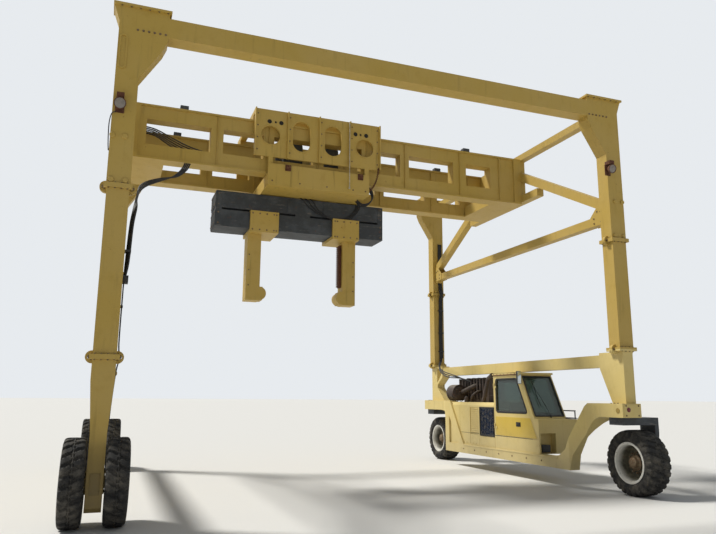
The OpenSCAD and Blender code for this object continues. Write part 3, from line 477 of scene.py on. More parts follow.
class Piece:
    """Gathers the solids of one piece, in the machine's own axes"""

    def __init__(self):
        self.bm = bmesh.new()

    def box(self, lo, hi, edge, turn=None):
        """A block between two corners with rounded edges; turn is a matrix about its middle"""
        lo, hi = Vector(lo), Vector(hi)
        mid, half = (lo + hi) / 2, (hi - lo) / 2
        made = bmesh.ops.create_cube(self.bm, size=2.0)["verts"]
        for v in made:
            p = Vector((v.co.x * half.x, v.co.y * half.y, v.co.z * half.z))
            v.co = mid + (turn @ p if turn else p)
        edge = min(edge, 0.8 * min(half))
        if edge > 0.0005:
            edges = list({e for v in made for e in v.link_edges})
            bmesh.ops.bevel(self.bm, geom=edges, offset=edge, segments=2, profile=0.6, affect="EDGES")

    def rod(self, a, b, r, r2=None, sides=20):
        """A rod, or a cone, from point a to point b"""
        a, b = Vector(a), Vector(b)
        along = b - a
        turn = along.to_track_quat("Z", "Y").to_matrix().to_4x4()
        bmesh.ops.create_cone(
            self.bm, cap_ends=True, segments=sides, radius1=r, radius2=r if r2 is None else r2,
            depth=along.length, matrix=Matrix.Translation((a + b) / 2) @ turn,
        )

    def bolt(self, at, out, r, h):
        """A hexagon head on its washer, standing out along out"""
        at, out = Vector(at), Vector(out).normalized()
        self.rod(at, at + out * 0.003, r * 1.45, sides=14)
        self.rod(at + out * 0.002, at + out * h, r, r * 0.92, sides=6)

    def turned(self, profile, at, axis, sides):
        """A closed profile of (radius, distance along the axis), turned about the axis.
        A point on the axis itself has the radius AXIS_R.
        """
        at = Vector(at)
        turn = Vector(axis).to_track_quat("Z", "Y").to_matrix()
        rings = []
        for k in range(sides):
            a = 2 * math.pi * k / sides
            rings.append([
                self.bm.verts.new(at + turn @ Vector((r * math.cos(a), r * math.sin(a), z)))
                for r, z in profile
            ])
        n = len(profile)
        for k in range(sides):
            one, two = rings[k], rings[(k + 1) % sides]
            for i in range(n):
                j = (i + 1) % n
                self.bm.faces.new([one[i], one[j], two[j], two[i]])

    def ring(self, at, axis, r_in, r_out, h, sides=32, edge=0.003):
        """A flat ring of height h about the axis, with its middle at the point"""
        half = h / 2
        self.turned([
            (r_in, -half), (r_out - edge, -half), (r_out, -half + edge),
            (r_out, half - edge), (r_out - edge, half), (r_in, half),
        ], at, axis, sides)

    def plate(self, outline, x, thick):
        """An outline of (y, z) at x, made thick along X, with its edges cut off"""
        n = len(outline)
        verts = [self.bm.verts.new((x, y, z)) for y, z in outline]
        verts += [self.bm.verts.new((x + thick, y, z)) for y, z in outline]
        faces = [self.bm.faces.new(verts[:n]), self.bm.faces.new(list(reversed(verts[n:])))]
        for i in range(n):
            j = (i + 1) % n
            faces.append(self.bm.faces.new([verts[i], verts[i + n], verts[j + n], verts[j]]))
        edges = list({e for f in faces for e in f.edges})
        bmesh.ops.bevel(self.bm, geom=edges, offset=0.003, segments=1, affect="EDGES")

    def pipe(self, points, r, sides, steps):
        """A round pipe or hose along a smooth line through the points; gives the piece back"""
        path = smooth_line(points, steps)
        side = Vector((0, 0, 1)) if abs((path[1] - path[0]).normalized().z) < 0.9 else Vector((1, 0, 0))
        rings = []
        for i, p in enumerate(path):
            ahead = (path[min(i + 1, len(path) - 1)] - path[max(i - 1, 0)]).normalized()
            side = (side - ahead * side.dot(ahead)).normalized()
            other = ahead.cross(side)
            rings.append([
                self.bm.verts.new(p + r * (math.cos(a) * side + math.sin(a) * other))
                for a in (2 * math.pi * k / sides for k in range(sides))
            ])
        for one, two in zip(rings, rings[1:]):
            for k in range(sides):
                j = (k + 1) % sides
                self.bm.faces.new([one[k], one[j], two[j], two[k]])
        self.bm.faces.new(list(reversed(rings[0])))
        self.bm.faces.new(rings[-1])
        return self

    def put(self, name, finish, body, slot, angle=35):
        """Makes the object, shades it and lets it ride on its body, if it has one"""
        bmesh.ops.recalc_face_normals(self.bm, faces=self.bm.faces)
        mesh = bpy.data.meshes.new(name)
        self.bm.to_mesh(mesh)
        self.bm.free()
        for polygon in mesh.polygons:
            polygon.use_smooth = True
        mesh.set_sharp_from_angle(angle=math.radians(angle))
        piece = bpy.data.objects.new(name, mesh)
        bpy.context.scene.collection.objects.link(piece)
        mesh.materials.append(finish_of(finish))
        if body:
            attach(piece, body)
        return piece


def hang(name, points, r, finish, body):
    """A free hose, cable or rope along a smooth line through the points"""
    path = smooth_line(points, 6)
    piece = Piece().pipe(path, r, 8, 1).put(name, finish, body, "black_trim")
    length = sum((b - a).length for a, b in zip(path, path[1:]))


def slot_outline(x, z, r, half):
    """Outline of an upright slot with round ends: half is half the length of its straight sides"""
    count = 48
    outline = []
    for k in range(count):
        a = 2 * math.pi * k / count
        outline.append((x + r * math.cos(a), z + (half if math.sin(a) > 0 else -half) + r * math.sin(a)))
    return outline


def raised_rim(piece, inner, outer, y, thick):
    """A raised rim between two outlines of (x, z), on the plane at y"""
    loops = [[piece.bm.verts.new((p[0], at, p[1])) for p in line]
             for line, at in ((inner, y), (outer, y), (outer, y + thick), (inner, y + thick))]
    n = len(inner)
    for a, b in ((0, 1), (1, 2), (2, 3), (3, 0)):
        for k in range(n):
            j = (k + 1) % n
            piece.bm.faces.new([loops[a][k], loops[a][j], loops[b][j], loops[b][k]])


def smooth_line(points, steps):
    """Points on a smooth line through the given points, that many steps between two of them"""
    pts = [Vector(p) for p in points]
    if len(pts) == 2:
        return [pts[0].lerp(pts[1], k / steps) for k in range(steps + 1)]
    ends = [2 * pts[0] - pts[1]] + pts + [2 * pts[-1] - pts[-2]]
    line = []
    for i in range(1, len(ends) - 2):
        p0, p1, p2, p3 = ends[i - 1:i + 3]
        for k in range(steps):
            t = k / steps
            line.append(0.5 * (
                2 * p1 + (p2 - p0) * t + (2 * p0 - 5 * p1 + 4 * p2 - p3) * t * t
                + (3 * p1 - p0 - 3 * p2 + p3) * t ** 3
            ))
    line.append(pts[-1])
    return line


# Pieces


class CARRIER_OT_stage(bpy.types.Operator):
    """Sets the floor, the light and the camera"""

    bl_idname = "carrier.stage"
    bl_label = "Stage"

    def execute(self, context):
        look = context.scene.carrier_stage
        scene = context.scene
        scene.view_settings.view_transform = "Standard"
        mesh = bpy.data.meshes.new("floor")
        size = 300.0
        mesh.from_pydata(
            [(-size, -size, 0), (size, -size, 0), (size, size, 0), (-size, size, 0)], [], [(0, 1, 2, 3)]
        )
        floor = bpy.data.objects.new("floor", mesh)
        scene.collection.objects.link(floor)
        sh = Shader("pale_floor")
        sh.set(Base_Color=(0.74, 0.74, 0.73, 1), Roughness=0.9)
        mesh.materials.append(sh.material)

        world = bpy.data.worlds.new("studio")
        world.use_nodes = True
        scene.world = world
        nodes, links = world.node_tree.nodes, world.node_tree.links
        nodes.clear()
        out = nodes.new("ShaderNodeOutputWorld")
        fill = nodes.new("ShaderNodeBackground")
        fill.inputs[0].default_value = (0.92, 0.96, 1.0, 1)
        fill.inputs[1].default_value = look.fill
        seen = nodes.new("ShaderNodeBackground")
        seen.inputs[0].default_value = (0.80, 0.83, 0.86, 1)
        seen.inputs[1].default_value = 1.0
        rays = nodes.new("ShaderNodeLightPath")
        either = nodes.new("ShaderNodeMath")
        either.operation = "MAXIMUM"
        also = nodes.new("ShaderNodeMath")
        also.operation = "MAXIMUM"
        links.new(rays.outputs["Is Camera Ray"], either.inputs[0])
        links.new(rays.outputs["Is Glossy Ray"], either.inputs[1])
        links.new(either.outputs[0], also.inputs[0])
        links.new(rays.outputs["Is Transmission Ray"], also.inputs[1])
        pick = nodes.new("ShaderNodeMixShader")
        links.new(also.outputs[0], pick.inputs[0])
        links.new(fill.outputs[0], pick.inputs[1])
        links.new(seen.outputs[0], pick.inputs[2])
        links.new(pick.outputs[0], out.inputs[0])

        key = bpy.data.lights.new("key", "SUN")
        key.energy = look.key
        key.angle = math.radians(9)
        key.color = (1.0, 0.97, 0.90)
        lamp = bpy.data.objects.new("key", key)
        lamp.rotation_euler = Vector((-0.50, 0.34, 0.80)).to_track_quat("Z", "Y").to_euler()
        scene.collection.objects.link(lamp)

        lens = bpy.data.cameras.new("camera")
        lens.sensor_width = 36
        lens.lens = look.lens
        lens.clip_end = 500
        eye = bpy.data.objects.new("camera", lens)
        scene.collection.objects.link(eye)
        yaw, pitch, roll = (math.radians(a) for a in EYE_TURN)
        ahead = Vector((math.sin(yaw) * math.cos(pitch), math.cos(yaw) * math.cos(pitch), math.sin(pitch)))
        level = Vector((math.cos(yaw), -math.sin(yaw), 0))
        upward = level.cross(ahead)
        right = math.cos(roll) * level + math.sin(roll) * upward
        up = math.cos(roll) * upward - math.sin(roll) * level
        eye.matrix_world = Matrix((
            (right.x, up.x, -ahead.x, EYE[0]),
            (right.y, up.y, -ahead.y, EYE[1]),
            (right.z, up.z, -ahead.z, EYE[2]),
            (0, 0, 0, 1),
        ))
        scene.camera = eye
        return {"FINISHED"}


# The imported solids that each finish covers
NODE_FINISH = {
    "gantry_paint": [
        "heads", "upper_legs", "lower_legs", "cross_beams", "truss_left", "truss_right", "girder_front",
        "girder_rear", "girder_ends", "drive_legs",
    ],
    "worn_paint": ["trolley_frame", "trolley_deck", "clamp_arm_left", "clamp_arm_right"],
    "faded_paint": ["feet_right", "low_frame", "side_beams", "cab_shell", "cab_roof", "cab_front",
                    "engine_cover", "cab_door"],
    "slate_paint": ["cab_trim", "buffer_stops", "knuckle_front", "knuckle_rear", "spreader",
                    "hoist_drums", "trolley_rollers"],
    "engine_iron": ["engine", "exhaust"],
    "drive_rim_paint": ["dual_rims_front", "dual_rims_rear"],
    "steer_rim_paint": ["rim_front_right", "rim_rear_right"],
    "window_glass": ["cab_glass", "door_glass"],
    "grille_blue": ["radiator_grille"],
    "wheel_rim_plastic": ["steering_column"],
    "rope_steel": ["hoist_ropes"],
    "tyre_rubber": ["dual_tyres_front", "dual_tyres_rear", "tyre_front_right", "tyre_rear_right"],
    "seat_vinyl": ["seat"],
}

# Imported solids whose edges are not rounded
ROUND_NODES = {
    "dual_rims_front", "dual_rims_rear", "rim_front_right", "rim_rear_right", "hoist_ropes",
    "cab_glass", "door_glass", "dual_tyres_front", "dual_tyres_rear", "tyre_front_right",
    "tyre_rear_right", "steering_column", "seat",
}


class CARRIER_OT_paint(bpy.types.Operator):
    """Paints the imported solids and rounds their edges"""

    bl_idname = "carrier.paint"
    bl_label = "Paint"

    def execute(self, context):
        for finish, names in NODE_FINISH.items():
            for name in names:
                node = frame["nodes"][name]
                material = finish_of(finish)
                if not node.data.materials:
                    node.data.materials.append(material)
                for k in range(len(node.data.materials)):
                    node.data.materials[k] = material
                if name in ROUND_NODES:
                    continue
                bevel = node.modifiers.new("rounded edges", "BEVEL")
                bevel.width = 0.005
                bevel.segments = 2
                bevel.limit_method = "ANGLE"
                bevel.angle_limit = math.radians(40)
        return {"FINISHED"}


def tyre_section(width, rim_r):
    """Half of a tyre's section, from the bead to the middle of the tread: (radius, offset)"""
    return [
        (rim_r + 0.002, 0.40 * width), (rim_r + 0.030, 0.405 * width), (rim_r + 0.050, 0.455 * width),
        (TREAD_R * 0.70, 0.488 * width), (TREAD_R * 0.78, 0.499 * width), (TREAD_R - 0.085, 0.492 * width),
        (TREAD_R - 0.060, 0.485 * width), (TREAD_R - 0.040, 0.470 * width), (TREAD_R - 0.022, 0.445 * width),
        (TREAD_R - 0.010, 0.405 * width), (TREAD_R - 0.003, 0.345 * width), (TREAD_R, 0.27 * width),
        (TREAD_R, 0.20 * width), (TREAD_R, 0.13 * width), (TREAD_R, 0.085 * width),
        (TREAD_R, 0.045 * width), (TREAD_R, 0.0),
    ]


def add_tyre(piece, centre, width, rim_r, tread, lean):
    """A treaded tyre about the X axis: slanting lugs, cut by grooves that run over the shoulder"""
    half = tyre_section(width, rim_r)
    section = [(r, x) for r, x in half] + [(r, -x) for r, x in reversed(half[:-1])]
    per_lug = 10
    count = tread.lugs * per_lug
    centre = Vector(centre)
    rings = []
    for k in range(count):
        angle = 2 * math.pi * k / count
        ring = []
        for r, x in section:
            cross = abs(x) / (0.5 * width)
            r_now, x_now = r, x
            if r > TREAD_R - 0.095 and cross > 0.12:
                slant = lean * (cross - 0.3) * (1 if x > 0 else -1)
                half_pitch = 0.5 if x < 0 else 0.0
                phase = (k / per_lug + slant + half_pitch) % 1.0
                depth = tread.groove if phase < 0.36 else 0.0
                if r > TREAD_R - 0.03:
                    r_now = r - depth
                else:
                    x_now = x - math.copysign(0.55 * depth, x)
            elif r > TREAD_R - 0.03 and cross > 0.02:
                zig = 0.05 * math.sin(2 * math.pi * k / per_lug)
                if abs(cross - 0.09 - zig) < 0.045:
                    r_now = r - tread.groove * 0.7
            ring.append(piece.bm.verts.new(
                centre + Vector((x_now, r_now * math.sin(angle), r_now * math.cos(angle)))))
        rings.append(ring)
    for k in range(count):
        one, two = rings[k], rings[(k + 1) % count]
        for i in range(len(section) - 1):
            piece.bm.faces.new([one[i], one[i + 1], two[i + 1], two[i]])
    for r, side in product((rim_r + 0.075, rim_r + 0.105), SIDES):
        piece.ring(centre + Vector((side * 0.470 * width, 0, 0)), (1, 0, 0), r - 0.003, r + 0.003, 0.016,
                   sides=72, edge=0.001)


class CARRIER_OT_tyres(bpy.types.Operator):
    """Makes the treaded tyres"""

    bl_idname = "carrier.tyres"
    bl_label = "Tyres"

    def execute(self, context):
        tread = context.scene.carrier_wheels
        for word, side in (("front", -1), ("rear", 1)):
            y = side * LEG_Y
            twin, single = Piece(), Piece()
            for s in SIDES:
                add_tyre(twin, (-LEG_X + s * TWIN_X, y, WHEEL_Z), width=0.28, rim_r=0.285, tread=tread,
                         lean=0.5 * s)
            piece = twin.put(f"drive_tyres_{word}", "tyre_rubber", f"wheels_{word}_left", "tyre", 28)
            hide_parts(f"dual_tyres_{word}")
            add_tyre(single, (STEER_X, y, WHEEL_Z), width=0.45, rim_r=0.32, tread=tread, lean=0.7)
            piece = single.put(f"steer_tyre_{word}", "tyre_rubber", f"wheel_{word}_right", "tyre", 28)
            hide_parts(f"tyre_{word}_right")
        return {"FINISHED"}


def around(count, r, y, z, start=0.0):
    """Places of (y, z) on a circle about the X axis; start is a share of the step between two"""
    angles = [2 * math.pi * (k + start) / count for k in range(count)]
    return [(y + r * math.sin(a), z + r * math.cos(a)) for a in angles]


class CARRIER_OT_wheel_nuts(bpy.types.Operator):
    """Puts nuts and hub caps on the wheels"""

    bl_idname = "carrier.wheel_nuts"
    bl_label = "Wheel nuts"

    def execute(self, context):
        twin_cap = [(AXIS_R, 0.0), (0.062, 0.0), (0.066, 0.03), (0.058, 0.055), (AXIS_R, 0.06)]
        steer_cap = [(AXIS_R, 0.0), (0.128, 0.0), (0.132, 0.012), (0.100, 0.03), (0.085, 0.075),
                     (0.060, 0.092), (AXIS_R, 0.096)]
        for word, side in (("front", -1), ("rear", 1)):
            hub_y = side * LEG_Y
            nuts = Piece()
            for s in SIDES:
                for y, z in around(10, 0.105, hub_y, WHEEL_Z):
                    nuts.bolt((-LEG_X + s * (TWIN_X + 0.010), y, z), (s, 0, 0), 0.015, 0.028)
                nuts.turned(twin_cap, (-LEG_X + s * (TWIN_X + 0.060), hub_y, WHEEL_Z), (s, 0, 0), 28)
            nuts.put(f"drive_wheel_nuts_{word}", "bolt_steel", f"wheels_{word}_left", "rim_paint")
            nuts = Piece()
            for y, z in around(12, 0.165, hub_y, WHEEL_Z):
                nuts.bolt((STEER_X - 0.020, y, z), (-1, 0, 0), 0.015, 0.030)
            nuts.turned(steer_cap, (STEER_X - 0.042, hub_y, WHEEL_Z), (-1, 0, 0), 32)
            nuts.put(f"steer_wheel_nuts_{word}", "bolt_steel", f"wheel_{word}_right", "rim_paint")
        return {"FINISHED"}


class CARRIER_OT_leg_fittings(bpy.types.Operator):
    """Bolts the legs' joints, heads and cap plates, and puts the round bosses on the legs"""

    bl_idname = "carrier.leg_fittings"
    bl_label = "Leg fittings"

    def execute(self, context):
        bolts, bosses = Piece(), Piece()
        boss = [(AXIS_R, 0.0), (0.038, 0.0), (0.038, 0.016), (0.030, 0.022), (AXIS_R, 0.022)]
        pin_out, head_row_z, cap_z = 0.1871, 6.655, 6.982
        for sx, sy in CORNERS:
            x0, y0 = sx * LEG_X, sy * LEG_Y
            foot = LEFT_JOINT if sx < 0 else RIGHT_JOINT
            for z in (foot, UPPER_JOINT):
                wide = (LEG_W if z == foot else LEG_TOP_W) / 2 + 0.018
                deep = LEG_D / 2 + 0.019
                for k, s, up in product(range(4), SIDES, SIDES):
                    bolts.bolt((x0 - 0.12 + 0.08 * k, y0 + s * deep, z + up * 0.032), (0, 0, up),
                               0.010, 0.013)
                for s, t, up in product(SIDES, (-0.07, 0.0, 0.07), SIDES):
                    bolts.bolt((x0 + s * wide, y0 + t, z + up * 0.032), (0, 0, up), 0.009, 0.012)
            for s, z in product(SIDES, (foot, UPPER_JOINT)):
                x = x0 + s * pin_out
                bolts.rod((x, y0 - 0.05, z), (x, y0 + 0.05, z), 0.020, sides=18)
            for out in SIDES:
                y = y0 + out * LEG_D / 2
                for k in range(6):
                    bolts.bolt((x0 - sx * (0.095 + 0.076 * k), y, head_row_z), (0, out, 0), 0.012, 0.014)
                for dx, z in ((0.125, 5.055), (-0.035, 5.055), (0.10, 4.43), (-0.08, 4.43)):
                    bosses.turned(boss, (x0 + sx * dx, y, z), (0, out, 0), 24)
            for k, s in product(range(6), SIDES):
                bolts.bolt((x0 - sx * (0.49 - 0.125 * k), y0 + s * 0.155, cap_z), (0, 0, -1), 0.010, 0.011)
        bolts.put("leg_bolts", "bolt_steel", "frame", "frame_paint")
        inner, outer = (slot_outline(-4.255, 6.295, r, 0.205) for r in (0.034, 0.056))
        raised_rim(bosses, inner, outer, LEG_FRONT, -0.016)
        bosses.put("leg_bosses", "gantry_paint", "frame", "frame_paint")
        return {"FINISHED"}


class CARRIER_OT_truss_fittings(bpy.types.Operator):
    """Puts gusset plates and bolts on the trusses and the girders' ends, and stiffeners on the girders"""

    bl_idname = "carrier.truss_fittings"
    bl_label = "Truss fittings"

    def execute(self, context):
        bolts, plates = Piece(), Piece()
        thick = 0.010
        for sx in SIDES:
            for sy, face in product(SIDES, SIDES):
                x = sx * LEG_X + face * 0.080
                tip = sy * 3.33
                outline = [(tip, 4.70), (tip, 5.10), (tip - sy * 0.16, 5.05), (tip - sy * 0.34, 4.89),
                           (tip - sy * 0.34, 4.71)]
                plates.plate(outline, x if face > 0 else x - thick, thick)
                for dy, z in ((0.06, 4.76), (0.06, 4.95), (0.24, 4.76), (0.24, 4.85), (0.15, 4.97)):
                    bolts.bolt((x + face * thick, tip - sy * dy, z), (face, 0, 0), 0.012, 0.012)
            for sy, k in product(SIDES, range(5)):
                bolts.bolt((sx * GIRDER_HIGH[0], sy * GIRDER_Y + 0.055 * (k - 2), GIRDER_HIGH[2]), (0, 0, 1),
                           0.011, 0.013)
        for sy, side in product(SIDES, SIDES):
            web = sy * GIRDER_Y + side * 0.12
            y0, y1 = sorted((web, web + side * 0.028))
            for x in (-2.53, -1.55, -0.55, 0.45, 1.30, 2.58, 3.55):
                plates.box((x - 0.006, y0, GIRDER_LOW[2] + FLANGE),
                           (x + 0.006, y1, GIRDER_HIGH[2] - FLANGE), 0.002)
        bolts.put("truss_bolts", "bolt_steel", "frame", "frame_paint")
        plates.put("truss_gussets", "gantry_paint", "frame", "frame_paint")
        return {"FINISHED"}


class CARRIER_OT_hoses(bpy.types.Operator):
    """Runs hoses through the front girder, to the left leg and over the engine, and cables down two legs"""

    bl_idname = "carrier.hoses"
    bl_label = "Hoses and cables"

    def execute(self, context):
        size = context.scene.carrier_hoses
        hoses = Piece()
        for k in range(5):
            y = -0.62 + 0.03 * k
            hoses.pipe([
                (-3.86, y, 6.44 - 0.02 * k), (-3.62, y, 6.40 - 0.02 * k), (-3.34, y, 6.28 - 0.03 * k),
                (-3.06, y + 0.01, 6.17 - 0.03 * k), (-2.80, y, 6.10 - 0.015 * k), (-2.55, y, 6.06),
                (-2.20, y, 6.055), (-1.75, y + 0.01, 6.06), (-1.20, y, 6.052), (-0.60, y + 0.008, 6.058),
                (0.0, y, 6.052), (0.70, y - 0.006, 6.06), (1.30, y, 6.052), (1.95, y + 0.01, 6.058),
                (2.60, y, 6.053),
            ], size.hose_r, 8, 4)
        hoses.put("girder_hoses", "hose_rubber", "frame", "black_trim")

        leg_rows = [-3.37 - 0.024 * k for k in range(4)]
        for k, y in enumerate(leg_rows):
            out = 0.012 * k
            hang(f"leg_hose_{k + 1}", [
                (-3.00 - 0.03 * k, -0.80, 5.755), (-3.06 - 0.03 * k, -0.82, 5.62),
                (-3.22 - 0.02 * k, -0.88, 5.46), (-3.50, -1.05 - 0.02 * k, 5.34 - 0.02 * k),
                (-3.74, -1.45, 5.13 - 0.025 * k), (-3.86, -2.05, 4.86 - 0.03 * k),
                (-3.90, -2.65, 4.60 - 0.03 * k), (-3.92, -3.10, 4.37 - 0.02 * k),
                (-3.955 + out, y + 0.04, 4.12), (-3.985 + out, y, 3.85), (-4.006 + out, y, 3.35),
                (-4.012, y, 3.07),
            ], size.hose_r, "hose_rubber", "frame")
        for k in range(3):
            hang(f"engine_hose_{k + 1}", [
                (4.175 + 0.030 * k, 3.318, 2.64), (4.160 + 0.028 * k, 3.295, 2.55),
                (4.10 + 0.02 * k, 3.22, 2.46), (4.015, 3.05, 2.37 - 0.03 * k),
                (3.985, 2.75, 2.25 - 0.045 * k), (3.990, 2.42, 2.18 - 0.045 * k),
                (4.03 + 0.02 * k, 2.12, 2.11 - 0.02 * k),
                (4.10 + 0.03 * k, 1.92, 2.03), (4.20 + 0.02 * k, 1.80 - 0.04 * k, 1.97),
            ], size.hose_r, "hose_rubber", "frame")

        cables = Piece()
        for k, y in enumerate(leg_rows):
            cables.pipe([
                (-4.012, y, 3.09), (-4.014, y, 2.9), (-4.014, y - 0.004, 2.25), (-3.99, y, 2.10),
                (-4.012, y, 1.98), (-4.03, y, 1.85), (-4.055, y, 1.50), (-4.068, y, 1.20),
            ], size.cable_r, 7, 4)
            x = 4.175 + 0.030 * k
            cables.pipe([
                (x, 3.319, 5.75), (x, 3.319, 5.25), (x - 0.01, 3.319, 4.85), (x, 3.312, 4.55),
                (x, 3.262, 4.40), (x, 3.262, 4.30), (x, 3.312, 4.16), (x + 0.006, 3.321, 3.8),
                (x - 0.006, 3.321, 3.3), (x, 3.321, 2.8), (x, 3.318, 2.62),
            ], 0.014, 8, 4)
        for z, out, half in ((3.50, -3.948, 0.014), (3.115, -3.958, 0.050), (2.75, -4.000, 0.012)):
            cables.box((-4.034, -3.478, z - half), (out, -3.335, z + half), 0.003)
        for z in (5.1, 3.9, 3.3, 2.8):
            cables.box((4.14, 3.300, z - 0.014), (4.30, 3.338, z + 0.014), 0.003)
        cables.put("leg_cables", "hose_rubber", "frame", "black_trim")
        return {"FINISHED"}


def add_lamp(shell, lens, at):
    """A round work lamp that looks forward and a little down"""
    r = 0.075
    look = Vector((0, -1, -0.35)).normalized()
    shell.turned([(AXIS_R, -0.07), (r * 0.5, -0.06), (r * 0.95, -0.01), (r * 1.08, 0.035), (r * 0.98, 0.04),
                  (r * 0.9, 0.0), (AXIS_R, -0.005)], at, look, 28)
    lens.turned([(AXIS_R, 0.018), (r * 0.5, 0.026), (r * 0.93, 0.030), (r * 0.93, 0.012), (AXIS_R, 0.008)],
                at, look, 28)


class CARRIER_OT_lamps(bpy.types.Operator):
    """Hangs the work lamps on the front legs, with the cable of the left one"""

    bl_idname = "carrier.lamps"
    bl_label = "Lamps"

    def execute(self, context):
        shell, lens = Piece(), Piece()
        plate = LEG_FRONT - 0.012
        for x, y, z in ((-4.235, -3.70, 5.48), (4.02, -3.70, 5.62)):
            add_lamp(shell, lens, (x, y, z))
            shell.box((x - 0.018, y + 0.02, z - 0.018), (x + 0.018, LEG_FRONT, z + 0.018), 0.004)
            shell.box((x - 0.06, plate, z - 0.10), (x + 0.06, LEG_FRONT, z + 0.10), 0.003)
            shell.box((x - 0.05, y - 0.03, z + 0.085), (x + 0.05, LEG_FRONT, z + 0.15), 0.006)
            for dz in (-0.075, 0.075):
                shell.bolt((x, plate, z + dz), (0, -1, 0), 0.010, 0.010)
        shell.put("work_lamps", "rusty_iron", "frame", "slate_paint")
        lens.put("work_lamp_lenses", "lamp_glass", "frame", "window_glass")
        hang("lamp_cable", [
            (-4.337, -3.560, 4.84), (-4.345, -3.590, 4.92), (-4.352, -3.612, 5.06), (-4.352, -3.630, 5.22),
            (-4.330, -3.640, 5.34), (-4.285, -3.615, 5.385),
        ], 0.007, "hose_rubber", "frame")
        return {"FINISHED"}


# Windows of a side plate: place along it, height over its foot, radius, half of the straight side
PLATE_WINDOWS = [(0.31, 0.43, 0.185, 0.0), (0.92, 0.48, 0.175, 0.13), (1.56, 0.48, 0.175, 0.13),
                 (2.23, 0.43, 0.185, 0.0)]


class CARRIER_OT_trolley_fittings(bpy.types.Operator):
    """Rings the trolley's windows, bolts its plates and hangs its hoses, its rope and its chain"""

    bl_idname = "carrier.trolley_fittings"
    bl_label = "Trolley fittings"

    def execute(self, context):
        rims, bolts, dark, cleats = Piece(), Piece(), Piece(), Piece()
        x0, z0 = TROLLEY_LOW[0], TROLLEY_LOW[2]
        cleat_z = 5.86
        for s in SIDES:
            face, deck = s * PLATE_Y, s * DECK_Y
            for dx, dz, r, half in PLATE_WINDOWS:
                inner, outer = (slot_outline(x0 + dx, z0 + dz, grown, half) for grown in (r, r + 0.022))
                raised_rim(rims, inner, outer, face, s * 0.008)
                if half:
                    continue
                inward = 1 if dx < 1 else -1
                for along, hole in ((-0.03, 0.044), (0.09, 0.022), (0.20, 0.044)):
                    x, z = x0 + dx + inward * along, z0 + dz + 0.27
                    # Each small hole is a flat near-black disc on the plate's face: painted shade for the
                    # hole's inside
                    disc = [(AXIS_R, 0), (hole, 0), (hole, 0.002), (AXIS_R, 0.002)]
                    dark.turned(disc, (x, face, z), (0, s, 0), 24)
                    rims.ring((x, face + s * 0.003, z), (0, 1, 0), hole, hole + 0.009, 0.006, 24)
            for k, dz in product(range(5), (0.12, 0.36, 0.60, 0.84)):
                rib = x0 + 0.012 + k * 0.634
                bolts.bolt((rib + (0.045 if k < 4 else -0.045), face, z0 + dz), (0, s, 0), 0.010, 0.011)
            for x in (-1.50, -0.96, -0.42, 0.12, 0.38):
                bolts.bolt((x, deck, 5.58), (0, s, 0), 0.011, 0.012)
            for x in (-1.20, 0.27):
                y0, y1 = sorted((deck, deck + s * 0.022))
                cleats.box((x - 0.055, y0, cleat_z - 0.06), (x + 0.055, y1, cleat_z + 0.06), 0.004)
                cleats.rod((x, deck, cleat_z), (x, deck + s * 0.05, cleat_z), 0.028)
                cleats.rod((x, deck + s * 0.045, cleat_z), (x, deck + s * 0.06, cleat_z), 0.045)
        rims.put("plate_window_rims", "worn_paint", "trolley", "frame_paint")
        bolts.put("trolley_bolts", "bolt_steel", "trolley", "frame_paint")
        dark.put("trolley_holes_painted_shade", "painted_hole_shade", "trolley", "slate_paint")
        cleats.put("deck_cleats", "rusty_iron", "trolley", "slate_paint")

        for k in range(3):
            y = 0.05 * k
            hang(f"trolley_hose_{k + 1}", [
                (0.44, y - 0.78, 5.70), (0.52, y - 0.79, 5.71), (0.60, y - 0.77, 5.64),
                (0.62 + 0.01 * k, y - 0.72, 5.53), (0.56, y - 0.66, 5.44 - 0.01 * k),
                (0.44, y - 0.62, 5.42 - 0.01 * k), (0.36, y - 0.60, 5.47), (0.33, y - 0.59, 5.535),
            ], context.scene.carrier_hoses.hose_r, "hose_rubber", "trolley")
        knot = Piece()
        knot.turned([(AXIS_R, -0.022), (0.014, -0.018), (0.019, 0.0), (0.014, 0.018), (AXIS_R, 0.022)],
                    (0.030, -0.992, 5.60), (0, 0, 1), 16)
        end = knot.put("hand_line_knot", "pale_rope", "trolley", "black_trim")
        hang("hand_line", [
            (0.026, -0.975, 6.96), (0.026, -0.984, 6.90), (0.027, -0.989, 6.70), (0.026, -0.990, 6.40),
            (0.028, -0.992, 6.10), (0.030, -0.992, 5.85), (0.030, -0.992, 5.70), (0.030, -0.992, 5.61),
        ], 0.009, "pale_rope", "trolley")
        chain = Piece()
        line = smooth_line([(0.66, -0.945, 6.09), (0.64, -0.95, 5.95), (0.60, -0.93, 5.80),
                            (0.54, -0.90, 5.68), (0.475, -0.86, 5.63)], 6)
        for k, point in enumerate(line):
            chain.ring(point, (0.6, 0.8, 0) if k % 2 else (-0.8, 0.6, 0.3), 0.012, 0.022, 0.009, 14, 0.002)
        chain.put("trolley_chain", "rusty_iron", "trolley", "slate_paint")
        return {"FINISHED"}


